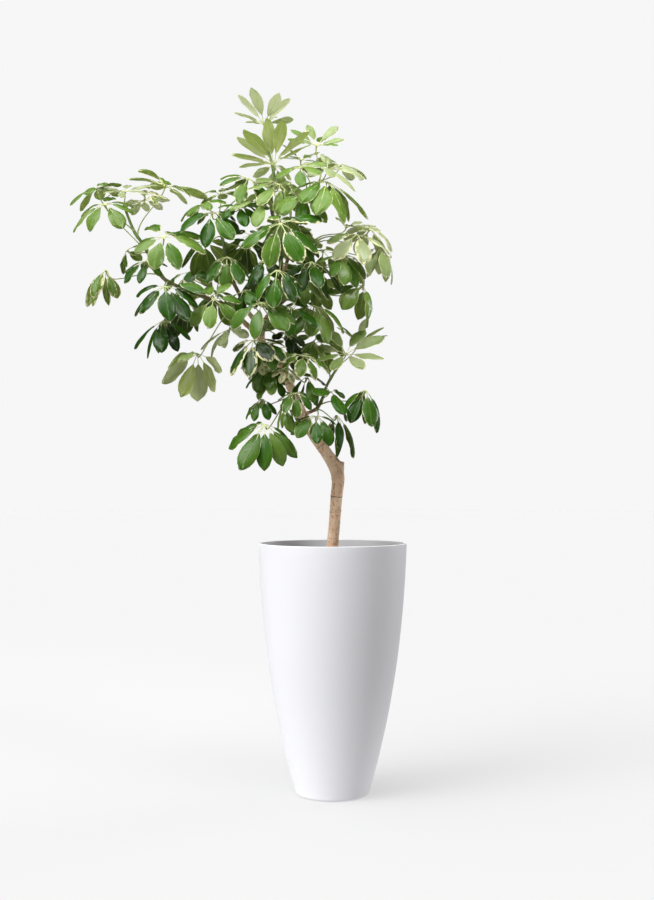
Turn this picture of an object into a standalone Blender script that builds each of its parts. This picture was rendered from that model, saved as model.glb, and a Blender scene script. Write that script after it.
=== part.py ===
"""Variegated dwarf umbrella tree in a tall tapered planter.

Metres, +Z up. The origin is the centre of the planter's flat foot. +X is to the right of the planter as
it is usually seen, and -Y is its front.
"""
import math
import random

import bmesh
import bpy
from mathutils import Vector
from mathutils.bvhtree import BVHTree

CM = 0.01
MM = 0.001
GAP = 0.3 * MM              # left between pieces that touch

# Planter
RIM_RADIUS = 0.185
PLANTER_HEIGHT = 0.62
WALL = 7 * MM
FLOOR = 12 * MM
FOOT_RADIUS = 0.084
FOOT_ROUNDING = 8 * MM      # height of the soft edge under the side
FOOT_EDGE = (0.6, 0.3)      # its middle corner, as shares of the way out and up
LIP_ROUNDING = 1.5 * MM
TAPER = (0.0214, 0.0575, 0.0158)    # how far the side draws in by the foot: linear, square and cubic share
ROUND_SIDES = 36

# Soil
SOIL_TOP = 0.575
SOIL_WAVES = 4 * MM
SOIL_MOUND = 9 * MM         # rise of the soil round the trunk
SOIL_RINGS = (0.045, 0.085, 0.13)
SOIL_SWIRLS = ((3, 40), (2, -55))    # waves round the trunk, and their turn in radians per metre outwards
SOIL_CALM = 0.04            # width round the trunk where the waves fade out
HOLE_CLEARANCE = 0.5 * MM
PLANTER_SIDE_HEIGHTS = (0.05, 0.12, 0.2, 0.29, 0.39, 0.49, SOIL_TOP)
INSIDE_HEIGHTS = (SOIL_TOP, 0.42, 0.26, 0.12, FLOOR)    # corners of the inner wall, which the soil shares

# Trunk
ROOT_DEPTH = 0.115
ROOT_RADIUS = 17.5 * MM
ROOT_TAPER = 0.85
WOODY_END = 8 * MM          # straight end of a woody limb
LIMB_THICKENING = 0.8 * MM  # for each point of a woody limb
TRUNK_SIDES = 8
# Centre line from the soil to the top of the wood, in cm, with the radius in mm
TRUNK_ROUTE = (
    (0, 0, 57.5, 17.5), (0, 0, 61, 15), (0.5, 0, 67, 14.3), (1, 0, 73.5, 14.8), (1.4, 0, 78, 16),
    (0.7, 0, 81, 17), (-1.2, 0, 84, 14.6), (-5.4, 0, 90, 13.2), (-8.6, 0, 96.5, 12.2), (-10.5, 0, 101, 11.5),
    (-13, 1, 106, 11), (-16.8, 1, 110.5, 10.5), (-18, 1, 113.8, 10), (-17.2, 1, 117, 9),
    (-15, 1, 120.5, 8), (-13.6, 1, 125.5, 7), (-13.2, 1, 131, 6),
)
SAWN_STUB = ((1.2, 0, 77.5), (1.6, -0.2, 82.3))     # where the old leader was cut off
SAWN_STUB_RADII = (15, 14)

# Leaves
PETIOLULE_SHARE = 0.2       # of a leaflet's length, from the hub to the blade
SHOULDER_SHARE = 0.38
BELLY_SHARE = 0.72
SHOULDER_WIDTH = 0.66       # of the blade's greatest width
BLADE_WIDTH = 0.4           # of a leaflet's length
YOUNG_BLADE_WIDTH = 0.33
PETIOLULE_HALF_WIDTH = 1.2 * MM
PETIOLULE_KEEL = 2.2 * MM
BLADE_KEEL = 1.9 * MM       # thickness along the midrib, so that a blade is about 1 mm thick overall
HUB_RADIUS = 4.2 * MM
HUB_DEPTH = 3 * MM
HUB_UNDERSIDE = 0.9         # of its radius
PETIOLE_RADIUS = 1.7 * MM
PETIOLE_STEPS = 3
STALK_SUNK = 2 * MM         # how far under the hub a leaf stalk's first ring lies
STALK_INSIDE = 0.72         # share of a stalk's last step after which it may touch its stem
STALK_RISE = (0.3, 0.35)    # how far a leaf stalk keeps its direction under the hub and at the stem
STEM_SIDES = 5
ARCH = 44                   # degrees that a grown leaflet bends from hub to tip
YOUNG_ARCH = 24             # young leaflets rise and arch outwards
CLEARANCE = 1.2 * MM        # kept round every leaf and stalk
FEWEST_LEAFLETS = 4
TURN_DRAW = 4               # degrees
DROOP_DRAW = 6              # degrees
LENGTH_DRAW = (0.93, 1.04)
LONGEST = 1.04              # of a leaf's leaflet length, for the leaflet that points away from the stem
SHORTER_INSIDE = 0.34       # shorter by this share beside the leaf's own stalk
SPREAD_CLOSING = 0.55       # how much leaflets draw away from a stalk that comes in from the side,
SIDE_STALK = 0.5            # which it does above this share of its direction
UPRIGHT_STALK = 0.15        # under this share it comes in from below
BLADE_FILL = 0.92           # share of the room between its neighbours that a blade may take
SEED = 7

# Ways that a leaflet may be bent clear: more droop and turn in degrees, and share of its length
BENDS = (
    (0, 0, 1), (8, 0, 1), (-8, 0, 1), (0, 7, 1), (0, -7, 1), (16, 0, 1), (-16, 0, 1), (10, 8, 1),
    (10, -8, 1), (-10, 8, 1), (-10, -8, 1), (24, 0, 1), (0, 0, 0.86), (-24, 0, 1), (20, 9, 0.94),
    (20, -9, 0.94), (-20, 9, 0.94), (-20, -9, 0.94), (34, 0, 0.94), (-34, 0, 0.94), (12, 0, 0.78),
    (-12, 0, 0.78), (0, 10, 0.7), (0, -10, 0.7), (30, 10, 0.76), (-30, -10, 0.76), (0, 0, 0.6),
)
# Ways that a leaf stalk may be bent clear: bow sideways and upwards, as shares of its length
BOWS = (
    (0, 0), (0.12, 0), (-0.12, 0), (0, 0.12), (0.24, 0), (-0.24, 0), (0.15, 0.15), (-0.15, 0.15),
    (0.15, -0.15), (-0.15, -0.15), (0.36, 0), (-0.36, 0), (0, 0.3), (0.3, 0.2), (-0.3, 0.2), (0, -0.25),
)

# Each leafy shoot has its woody limb (points on the trunk's own wood, cm), its green stem (cm, from its
# foot), the stem's radius at foot and tip (mm), and its leaves. A leaf is the place of its hub (x, y, z in
# cm), its leaflets' length (cm) and number, their droop (degrees), the side that it faces (degrees: 0
# right, 90 back, 180 left, 270 front), how far it leans that way, and where its stalk leaves the stem.
SHOOTS = {
    "left": dict(
        limb=((-17.8, 1, 113.2), (-23, 0, 118)),
        stem=((-27.5, -1, 121.5), (-34, -4, 124), (-40.5, -6, 126.5), (-43, -6, 129.5),
              (-46.5, -5, 135.5), (-49, -4, 139), (-51, -3, 143.5), (-52, -3, 146.5)),
        radii=(5.5, 3),
        leaves=(
            (-59, -2, 150.6, 8, 6, 20, 200, 16, 0.49),
            (-55.5, -9, 145, 10, 6, 28, 250, 30, 0.72),
            (-51.5, -4, 149.4, 8, 7, -4, 270, 30, 0.97),
            (-48, 4, 149, 6, 6, 8, 120, 20, 0.93),
            (-42, 0, 151.5, 11, 6, 7, 0, 18, 0.67),
            (-41, -10.5, 136.6, 11, 7, 20, 270, 38, 0.44),
            (-55.5, -7, 129, 9.8, 5, 64, 200, 5, 0.36),
            (-52, 2.5, 135.8, 6, 3, 35, 185, 40, 0.52),
            (-40, -14, 124, 10.8, 6, 31, 265, 22, 0.28),
            (-41.3, -8, 116.5, 10.3, 6, 50, 240, 14, 0.16),
            (-37.5, 5, 122.5, 8.5, 6, 42, 90, 25, 0.1),
        ),
    ),
    "centre_left": dict(
        limb=((-17.4, 1, 115.5), (-22, 3, 121)),
        stem=((-23.5, 4, 124.5), (-26.5, 4, 131), (-27.5, 3, 137), (-28.5, 2, 142), (-28.5, 1, 145)),
        radii=(5, 3),
        leaves=(
            (-29.6, -7, 143.3, 9.8, 6, 36, 265, 30, 0.8),
            (-23.3, -4, 145.8, 7.5, 6, 25, 260, 30, 0.95),
            (-28.5, 2, 150, 7, 6, 8, 180, 15, 0.97),
            (-33, 7, 139, 9.5, 6, 35, 130, 35, 0.6),
            (-26, -6, 132.5, 9.5, 6, 48, 275, 20, 0.3),
            (-22.5, 7, 138.5, 8.5, 6, 35, 60, 30, 0.5),
            (-21, -3, 152.7, 9.6, 6, 26, 305, 32, 0.9),
        ),
    ),
    "low_left": dict(
        limb=((-22.8, 0, 117.8),),
        stem=((-23.6, -2.4, 118.7), (-25, -6, 119.5), (-26.5, -9.5, 119.2)),
        radii=(4.5, 3.4),
        leaves=(
            (-28.5, -14, 121, 8.5, 6, 15, 270, 55, 0.92),
            (-32.8, -9, 108.3, 11.5, 7, 47, 95, 42, 0.5),
        ),
    ),
    "top": dict(
        limb=((-13.2, 1, 130),),
        stem=((-13, 1, 132.6), (-14, 2, 139.5), (-15.5, 3, 147), (-15.5, 3, 152), (-15, 3, 156),
              (-16.2, 1, 161), (-16.9, -1.9, 164.2)),
        radii=(6, 2.8),
        leaves=(
            (-17.1, -2, 166.8, 9.2, 8, -34, 85, 22, 0.98),
            (-14.6, -3.5, 156.3, 12, 8, -25, 150, 20, 0.62),
            (-15, 7, 158.5, 6.5, 6, 35, 60, 20, 0.7),
            (-10.5, 5, 153, 7.5, 6, 28, 20, 25, 0.5),
            (-13.2, -6.5, 150.5, 8.5, 6, 30, 285, 35, 0.4),
        ),
    ),
    "middle": dict(
        limb=((-13.2, 1, 129),),
        stem=((-11.6, 0.2, 132), (-9.5, -1, 138.5), (-8.5, -2, 143.5), (-8, -2, 147.5), (-5, -3, 150.8),
              (-2.2, -3.4, 152.3)),
        radii=(4.4, 2.8),
        leaves=(
            (-8, 3, 159, 6, 6, -20, 290, 20, 0.75),
            (-4, 1, 162.2, 7.8, 7, -10, 285, 38, 0.9),
            (-1.2, -5, 154.6, 8.8, 7, 5, 300, 34, 0.97),
            (-8, -9, 154, 7, 6, 18, 250, 25, 0.7),
            (-1.4, -9, 150.4, 12.8, 6, 36, 320, 12, 0.58),
            (-7, -11, 147, 9, 6, 42, 285, 25, 0.35),
            (2, 3, 157.5, 8, 6, 12, 330, 28, 0.84),
        ),
    ),
    "front": dict(
        limb=((-13.4, 1, 126.6),),
        stem=((-13, -1.2, 128), (-12.5, -7, 132), (-11.5, -12, 135.5)),
        radii=(4.2, 3),
        leaves=(
            (-12.3, -17.5, 138.4, 11.6, 7, 28, 262, 42, 0.95),
            (-13, -19, 127, 9.5, 6, 42, 265, 22, 0.6),
            (-5, -10, 130.5, 10, 6, 46, 320, 18, 0.35),
        ),
    ),
    "right": dict(
        limb=((-15.2, 1, 120.2),),
        stem=((-13.2, 1.4, 122), (-10, 2, 125.5), (-7, 1, 131), (-4.5, 0, 135.5), (-4, 0, 138.5)),
        radii=(5, 3),
        leaves=(
            (3.5, 1, 141.5, 7, 6, -12, 0, 15, 0.96),
            (6, -6, 138, 10.5, 6, 32, 315, 30, 0.85),
            (9.5, 3, 141.3, 9.6, 6, 34, 10, 25, 0.9),
            (11.5, -3, 135.5, 9.5, 6, 50, 340, 20, 0.7),
            (2, -7, 132.5, 8.5, 6, 38, 280, 25, 0.5),
            (5.5, 3.5, 134, 8, 6, 40, 20, 25, 0.45),
            (7.3, -3, 125.8, 10.8, 5, 50, 350, 36, 0.14),
            (-5, 8, 128.5, 8, 6, 28, 90, 30, 0.3),
            (-4.5, -6, 120.5, 10, 6, 42, 300, 20, 0.07),
        ),
    ),
    "centre": dict(
        limb=((-18, 1, 113.8),),
        stem=((-17.6, -1.4, 113.9), (-16.5, -8, 115), (-15, -13, 117)),
        radii=(4.2, 3),
        leaves=(
            (-16.5, -18, 119.5, 9.5, 6, 35, 265, 35, 0.94),
            (-10, -10, 119.5, 9, 6, 35, 310, 30, 0.65),
            (-18.8, -13, 111.2, 10.5, 6, 33, 240, 26, 0.35),
        ),
    ),
    "centre_low": dict(
        limb=((-12, 0.5, 104),),
        stem=((-11.9, -1.5, 104.6), (-11.5, -4, 105.5), (-11, -7.5, 107)),
        radii=(4, 3),
        leaves=(
            (-7, -11, 107.8, 7.5, 6, 30, 300, 25, 0.75),
            (-15.5, -9, 104.8, 7, 6, 30, 240, 25, 0.5),
            (-14.5, -12.5, 110.5, 8.5, 6, 30, 260, 30, 0.9),
        ),
    ),
    "low_right": dict(
        limb=((-7.3, 0, 94.2),),
        stem=((-5.2, -1.2, 94.8), (-3.8, -2, 95.6), (-2.5, -2, 98), (-1.5, -2, 101), (0.5, -2, 104.5),
              (2.5, -2, 107.5)),
        radii=(4.4, 2.9),
        leaves=(
            (3.3, -4.4, 108.9, 10.2, 7, -8, 275, 50, 0.96),
            (6.5, 4, 112.6, 8.5, 5, -35, 20, 15, 0.84),
            (8, -8, 99.4, 10.8, 6, 55, 320, 18, 0.25),
            (-4.5, -4, 111.5, 5.8, 5, 42, 240, 18, 0.7),
            (1, 3, 93.8, 11.8, 5, 70, 0, 8, 0.14),
            (-4, -12, 93, 8, 6, 35, 280, 25, 0.12),
        ),
    ),
    "low_front": dict(
        limb=((-8.3, 0, 96.2),),
        stem=((-8.2, -2, 96.6), (-9.5, -5, 98), (-11, -8, 99)),
        radii=(4.2, 3.2),
        leaves=(
            (-16, -14.5, 90.8, 12.2, 8, 38, 264, 40, 0.6),
            (-9, -13.5, 98.5, 6, 6, 35, 275, 30, 0.92),
            (-14.5, -9.5, 102.5, 6.5, 6, 30, 220, 20, 0.85),
        ),
    ),
    "back_low": dict(
        limb=((-12, 0.6, 103.8),),
        stem=((-12, 2.6, 105), (-11, 9, 109), (-9.5, 15, 113)),
        radii=(4.4, 3),
        leaves=(
            (-14, 21, 113, 10, 5, 40, 110, 25, 0.8),
            (-4, 18, 116, 10, 5, 32, 60, 30, 0.9),
            (-10, 20, 121, 9.5, 6, 15, 90, 20, 0.97),
            (-18, 13, 110, 9.5, 5, 40, 150, 25, 0.4),
        ),
    ),
    "back_middle": dict(
        limb=((-13.5, 1, 126),),
        stem=((-13.7, 3, 127.6), (-14.5, 9, 132), (-16.5, 15, 138)),
        radii=(4.2, 3),
        leaves=(
            (-22, 19, 143, 10, 5, 30, 130, 25, 0.9),
            (-13, 20, 144.5, 9.5, 6, 20, 80, 25, 0.97),
            (-19, 23, 133, 10, 5, 42, 110, 25, 0.6),
            (-7.5, 19, 135, 10, 5, 35, 60, 25, 0.5),
        ),
    ),
    "back_high": dict(
        limb=((-13.1, 1, 130.5),),
        stem=((-13.2, 3, 132.5), (-12, 7, 139), (-11, 11, 145), (-11, 13, 149.5)),
        radii=(4, 2.9),
        leaves=(
            (-15.5, 16, 154, 8.5, 5, 15, 110, 20, 0.95),
            (-9.5, 17, 152.5, 7.5, 6, 15, 80, 22, 0.85),
            (-10, 16, 143, 8.5, 5, 34, 100, 30, 0.5),
        ),
    ),
    "back_left": dict(
        limb=((-20.8, 2.4, 119.5),),
        stem=((-22.6, 4.6, 120.6), (-27, 10, 124), (-32, 14, 128)),
        radii=(4, 3),
        leaves=(
            (-38, 16, 132.5, 10, 6, 30, 160, 28, 0.95),
            (-31, 20, 127.5, 10, 5, 42, 120, 25, 0.7),
            (-28.5, 13, 135, 9, 5, 25, 120, 20, 0.8),
        ),
    ),
    "back_right": dict(
        limb=((-13.8, 1, 124.6),),
        stem=((-12.4, 3, 125.2), (-8, 8, 127), (-3, 12, 130.5)),
        radii=(4.2, 3),
        leaves=(
            (-2.5, 16, 138, 9.5, 6, 30, 80, 25, 0.95),
            (-6, 19, 133, 9, 5, 36, 100, 28, 0.8),
            (-8.5, 18, 124.5, 9.5, 5, 38, 100, 30, 0.5),
        ),
    ),
}


def remove_scene_objects():
    for obj in list(bpy.data.objects):
        bpy.data.objects.remove(obj, do_unlink=True)


def finish(name, colour, roughness):
    """A Principled material of one colour."""
    material = bpy.data.materials.new(name)
    material.use_nodes = True
    shader = material.node_tree.nodes["Principled BSDF"]
    shader.inputs["Base Color"].default_value = (*colour, 1)
    shader.inputs["Roughness"].default_value = roughness
    shader.inputs["Metallic"].default_value = 0
    material.diffuse_color = (*colour, 1)
    return material


def mesh_object(name, piece, collection, material=None):
    """An object from a list of corners and a list of faces."""
    mesh = bpy.data.meshes.new(name)
    mesh.from_pydata(piece[0], [], piece[1])
    obj = bpy.data.objects.new(name, mesh)
    collection.objects.link(obj)
    if material:
        mesh.materials.append(material)
    return obj


def turned_object(name, profile, material):
    """A solid turned about Z from an outline whose two ends lie on the axis."""
    bm = bmesh.new()
    corners = [bm.verts.new((radius, 0, height)) for radius, height in profile]
    edges = [bm.edges.new(pair) for pair in zip(corners, corners[1:])]
    bmesh.ops.spin(bm, geom=corners + edges, cent=(0, 0, 0), axis=(0, 0, 1), angle=2 * math.pi,
                   steps=ROUND_SIDES)
    bmesh.ops.remove_doubles(bm, verts=bm.verts, dist=0.01 * MM)
    bmesh.ops.recalc_face_normals(bm, faces=bm.faces)
    mesh = bpy.data.meshes.new(name)
    bm.to_mesh(mesh)
    bm.free()
    mesh.materials.append(material)
    mesh.shade_smooth()
    mesh.set_sharp_from_angle(angle=math.radians(40))
    obj = bpy.data.objects.new(name, mesh)
    bpy.context.scene.collection.objects.link(obj)
    return obj


def fused_object(name, pieces, material):
    """One body from closed pieces that run into each other."""
    scene_collection = bpy.context.scene.collection
    obj = mesh_object(name, pieces[0], scene_collection, material)
    others = bpy.data.collections.new(name + "_others")
    scene_collection.children.link(others)
    for piece in pieces[1:]:
        mesh_object(name + "_other", piece, others)
    union = obj.modifiers.new("Union", "BOOLEAN")
    union.operation = "UNION"
    union.operand_type = "COLLECTION"
    union.collection = others
    union.solver = "MANIFOLD"
    bpy.context.view_layer.objects.active = obj
    bpy.ops.object.modifier_apply(modifier=union.name)
    for other in list(others.objects):
        bpy.data.meshes.remove(other.data)
    bpy.data.collections.remove(others)
    return obj


def planter_radius(height):
    """Outer radius of the planter's side."""
    below_rim = 1 - height / PLANTER_HEIGHT
    return RIM_RADIUS - sum(share * below_rim ** (power + 1) for power, share in enumerate(TAPER))


def make_planter(material):
    foot_side = planter_radius(FOOT_ROUNDING)
    edge_out = FOOT_RADIUS + FOOT_EDGE[0] * (foot_side - FOOT_RADIUS)
    outline = [(0, 0), (FOOT_RADIUS, 0), (edge_out, FOOT_EDGE[1] * FOOT_ROUNDING), (foot_side, FOOT_ROUNDING)]
    outline += [(planter_radius(height), height) for height in PLANTER_SIDE_HEIGHTS]
    outline.append((RIM_RADIUS, PLANTER_HEIGHT - LIP_ROUNDING))
    outline.append((RIM_RADIUS - LIP_ROUNDING, PLANTER_HEIGHT))
    outline.append((RIM_RADIUS - WALL + LIP_ROUNDING, PLANTER_HEIGHT))
    outline.append((RIM_RADIUS - WALL, PLANTER_HEIGHT - LIP_ROUNDING))
    outline += [(planter_radius(height) - WALL, height) for height in INSIDE_HEIGHTS]
    outline.append((0, FLOOR))
    return turned_object("planter", outline, material)


def make_soil(material):
    hole_radius = ROOT_RADIUS + HOLE_CLEARANCE
    hole_bottom = SOIL_TOP - ROOT_DEPTH - GAP
    outline = [(0, hole_bottom), (hole_radius, hole_bottom), (hole_radius, SOIL_TOP)]
    outline += [(radius, SOIL_TOP) for radius in SOIL_RINGS]
    for height in INSIDE_HEIGHTS:
        outline.append((planter_radius(height) - WALL - GAP, max(height, FLOOR + GAP)))
    outline.append((0, FLOOR + GAP))
    soil = turned_object("potting_soil", outline, material)
    edge = planter_radius(SOIL_TOP) - WALL - GAP
    for vert in soil.data.vertices:
        radius = math.hypot(vert.co.x, vert.co.y)
        if abs(vert.co.z - SOIL_TOP) < MM and radius < edge - MM:
            angle = math.atan2(vert.co.y, vert.co.x)
            mound = SOIL_MOUND * (1 - radius / edge) ** 2
            swirls = [math.sin(count * angle + turn * radius) for count, turn in SOIL_SWIRLS]
            calm = min(1, (radius - hole_radius) / SOIL_CALM)
            vert.co.z += mound + SOIL_WAVES * calm * swirls[0] * swirls[1]
    return soil


def smooth_route(points, steps):
    """Points along a smooth curve through the given points, with so many steps between each two."""
    ends = [2 * points[0] - points[1], *points, 2 * points[-1] - points[-2]]
    route = []
    for before, start, end, after in zip(ends, ends[1:], ends[2:], ends[3:]):
        for step in range(steps):
            t = step / steps
            bend = 2 * before - 5 * start + 4 * end - after
            twist = 3 * start - before - 3 * end + after
            route.append(0.5 * (2 * start + (end - before) * t + bend * t ** 2 + twist * t ** 3))
    route.append(points[-1])
    return route


def tangents_along(route):
    """Directions at the points of a route; the two ends keep their own piece's direction."""
    spans = [(end - start).normalized() for start, end in zip(route, route[1:])]
    inner = [(before + after).normalized() for before, after in zip(spans, spans[1:])]
    return [spans[0], *inner, spans[-1]]


def tube(route, radii, sides):
    """A closed tube of triangles round a route, square at both ends."""
    tangents = tangents_along(route)
    across = tangents[0].orthogonal().normalized()
    corners = []
    for point, tangent, radius in zip(route, tangents, radii):
        across = (across - tangent * across.dot(tangent)).normalized()
        other = tangent.cross(across)
        for side in range(sides):
            angle = 2 * math.pi * side / sides
            corners.append(point + radius * (math.cos(angle) * across + math.sin(angle) * other))
    faces = []
    for ring in range(len(route) - 1):
        for side in range(sides):
            a = ring * sides + side
            b = ring * sides + (side + 1) % sides
            faces += [(a, b, b + sides), (a, b + sides, a + sides)]
    last = (len(route) - 1) * sides
    for side in range(1, sides - 1):
        faces.append((0, side + 1, side))
        faces.append((last, last + side, last + side + 1))
    return corners, faces


def tapered(start, end, count):
    return [start + (end - start) * index / (count - 1) for index in range(count)]


def cm_points(rows):
    return [Vector(row[:3]) * CM for row in rows]


def stem_route(shoot):
    return smooth_route(cm_points(shoot["stem"]), 2)


def make_trunk_pieces():
    """The trunk with its root end, its sawn stub and a short woody limb to the foot of each shoot."""
    route = cm_points(TRUNK_ROUTE)
    radii = [row[3] * MM for row in TRUNK_ROUTE]
    route.insert(0, Vector((0, 0, SOIL_TOP - ROOT_DEPTH)))
    radii.insert(0, ROOT_TAPER * ROOT_RADIUS)
    pieces = [tube(route, radii, TRUNK_SIDES)]
    pieces.append(tube(cm_points(SAWN_STUB), [radius * MM for radius in SAWN_STUB_RADII], TRUNK_SIDES))
    for shoot in SHOOTS.values():
        green = stem_route(shoot)
        foot = green[0]
        away = (green[1] - foot).normalized()
        woody = cm_points(shoot["limb"]) + [foot - away * WOODY_END, foot - away * GAP]
        thin = shoot["radii"][0] * MM
        thick = thin + len(shoot["limb"]) * LIMB_THICKENING
        pieces.append(tube(woody, tapered(thick, thin, len(woody) - 1) + [thin], STEM_SIDES))
    return pieces


def facing(side, lean):
    """Unit vector that leans so many degrees from upright towards a side."""
    tilt = math.radians(lean)
    turn = math.radians(side)
    return Vector((math.sin(tilt) * math.cos(turn), math.sin(tilt) * math.sin(turn), math.cos(tilt)))


def stalk_route(hub, normal, stem, at, bow, steps):
    """A leaf stalk's centre line, from under its hub to inside the stem."""
    place = at * (len(stem) - 1)
    index = min(int(place), len(stem) - 2)
    foot = stem[index].lerp(stem[index + 1], place - index)
    along = (stem[index + 1] - stem[index]).normalized()
    start = hub - normal * (HUB_DEPTH + STALK_SUNK)
    reach = (start - foot).length
    chord = (start - foot).normalized()
    sideways = chord.cross(Vector((0, 0, 1))).normalized()
    shift = reach * (bow[0] * sideways + bow[1] * Vector((0, 0, 1)))
    first = start - normal * STALK_RISE[0] * reach + shift
    second = foot + (along + chord).normalized() * STALK_RISE[1] * reach + shift
    route = []
    for step in range(steps + 1):
        t = step / steps
        route.append(start * (1 - t) ** 3 + 3 * first * t * (1 - t) ** 2
                     + 3 * second * t ** 2 * (1 - t) + foot * t ** 3)
    return route


def leaflet_stations(hub, normal, outward, length, width, droop, arch):
    """Middle, upward direction and half width at each station from petiolule to tip."""
    shares = (0, PETIOLULE_SHARE, SHOULDER_SHARE, BELLY_SHARE, 1)
    widths = (0, PETIOLULE_HALF_WIDTH, SHOULDER_WIDTH * width / 2, width / 2, 0)
    point = hub + outward * HUB_RADIUS
    stations = []
    for before, share, half_width in zip(shares, shares[1:], widths[1:]):
        middle_bend = math.radians(droop + arch * ((before + share) / 2 - 0.5))
        point = point + (share - before) * length * (
            math.cos(middle_bend) * outward - math.sin(middle_bend) * normal)
        bend = math.radians(droop + arch * (share - 0.5))
        upward = math.sin(bend) * outward + math.cos(bend) * normal
        stations.append((point, upward, half_width))
    return stations


def leaflet_space(stations, across):
    """A closed box round a leaflet's blade, larger all round by the clearance."""
    corners = []
    for point, upward, half_width in stations:
        for side, lift in ((1, 1), (-1, 1), (-1, -1), (1, -1)):
            reach = half_width + CLEARANCE
            height = CLEARANCE if lift > 0 else BLADE_KEEL + CLEARANCE
            corners.append(point + side * reach * across + lift * height * upward)
    faces = [(0, 1, 2), (0, 2, 3)]
    last = 4 * (len(stations) - 1)
    faces += [(last, last + 2, last + 1), (last, last + 3, last + 2)]
    for start in range(0, last, 4):
        for side in range(4):
            a = start + side
            b = start + (side + 1) % 4
            faces += [(a, a + 4, b + 4), (a, b + 4, b)]
    return corners, faces


def leaf_piece(hub, normal, blades, route):
    """A whole leaf as one closed body: hub, stalk and keeled leaflets, turned about the hub."""
    count = len(blades)
    corners = []
    for index, blade in enumerate(blades):
        following = blades[(index + 1) % count]["outward"]
        between = (blade["outward"] + following).normalized()
        if normal.dot(blade["outward"].cross(following)) < 0:
            between = -between
        corners.append(hub + between * HUB_RADIUS)
    for blade in blades:
        corners.append(hub + blade["outward"] * HUB_RADIUS * HUB_UNDERSIDE - normal * HUB_DEPTH)
    faces = [(0, index, index + 1) for index in range(1, count - 1)]
    faces += [(count + index, count + (index + 1) % count, index) for index in range(count)]
    for index, blade in enumerate(blades):
        across = normal.cross(blade["outward"])
        left, right, keel = index, (index - 1) % count, count + index
        for point, upward, half_width in blade["stations"]:
            start = len(corners)
            if half_width == 0:
                corners.append(point)
                faces += [(right, start, left), (right, keel, start), (keel, left, start)]
                continue
            depth = PETIOLULE_KEEL if half_width == PETIOLULE_HALF_WIDTH else BLADE_KEEL
            corners += [point + across * half_width, point - across * half_width, point - upward * depth]
            faces += [(right, start + 1, start), (right, start, left), (right, keel, start + 2),
                      (right, start + 2, start + 1), (keel, left, start), (keel, start, start + 2)]
            left, right, keel = start, start + 1, start + 2
    add_stalk(corners, faces, normal, blades, route)
    return corners, faces


def add_stalk(corners, faces, normal, blades, route):
    """Joins a three-sided stalk to the ring of corners under the hub."""
    count = len(blades)
    first = len(corners)
    across = blades[0]["outward"]
    tangents = [-normal, *tangents_along(route)[1:]]
    for point, tangent in zip(route, tangents):
        across = (across - tangent * across.dot(tangent)).normalized()
        other = across.cross(tangent)
        for side in range(3):
            angle = 2 * math.pi * side / 3
            corners.append(point + PETIOLE_RADIUS * (math.cos(angle) * across + math.sin(angle) * other))
    # The band between the two rings steps on along whichever has the nearer next corner
    hub_turns = [blade["turn"] - blades[0]["turn"] for blade in blades] + [2 * math.pi]
    on_hub = 0
    on_stalk = 0
    while on_hub < count or on_stalk < 3:
        hub_corner = count + on_hub % count
        stalk_corner = first + on_stalk % 3
        stalk_turn = 2 * math.pi * (on_stalk + 1) / 3
        if on_stalk == 3 or (on_hub < count and hub_turns[on_hub + 1] <= stalk_turn):
            faces.append((count + (on_hub + 1) % count, hub_corner, stalk_corner))
            on_hub += 1
        else:
            faces.append((stalk_corner, first + (on_stalk + 1) % 3, hub_corner))
            on_stalk += 1
    for ring in range(len(route) - 1):
        for side in range(3):
            a = first + 3 * ring + side
            b = first + 3 * ring + (side + 1) % 3
            faces += [(a, a + 3, b + 3), (a, b + 3, b)]
    last = first + 3 * (len(route) - 1)
    faces.append((last, last + 2, last + 1))


def tree_of(pieces):
    """Search tree over many pieces."""
    corners = []
    faces = []
    for piece_corners, piece_faces in pieces:
        start = len(corners)
        corners += piece_corners
        faces += [tuple(start + corner for corner in face) for face in piece_faces]
    return BVHTree.FromPolygons(corners, faces, all_triangles=True)


def tree_without(taken, owners):
    """Search tree over everything that is placed, without what is kept under the given owners."""
    return tree_of([piece for owner, piece in taken.items() if owner not in owners])


def is_clear(tree, piece):
    return not tree.overlap(tree_of([piece]))


def stalk_space(route):
    """The room that a leaf stalk takes, up to just outside its stem."""
    outside = route[:-1] + [route[-2].lerp(route[-1], STALK_INSIDE)]
    return tube(outside, [PETIOLE_RADIUS + CLEARANCE] * len(outside), 4)


def hub_space(hub, normal):
    ends = [hub + normal * CLEARANCE, hub - normal * (HUB_DEPTH + CLEARANCE)]
    return tube(ends, [HUB_RADIUS + CLEARANCE] * 2, 5)


def plan_stalks(taken):
    """Chooses for each leaf a stalk that passes clear of everything but its own stem."""
    stalks = {}
    for name, shoot in SHOOTS.items():
        stem = stem_route(shoot)
        for number, leaf in enumerate(shoot["leaves"]):
            hub = Vector(leaf[:3]) * CM
            normal = facing(leaf[6], leaf[7])
            tree = tree_without(taken, [("stem", name)])
            routes = [stalk_route(hub, normal, stem, leaf[8], bow, PETIOLE_STEPS) for bow in BOWS]
            clear = [route for route in routes if is_clear(tree, stalk_space(route))]
            route = clear[0] if clear else routes[0]
            stalks[name, number] = route
            taken["stalk", name, number] = stalk_space(route)
            taken["hub", name, number] = hub_space(hub, normal)
    return stalks


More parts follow.
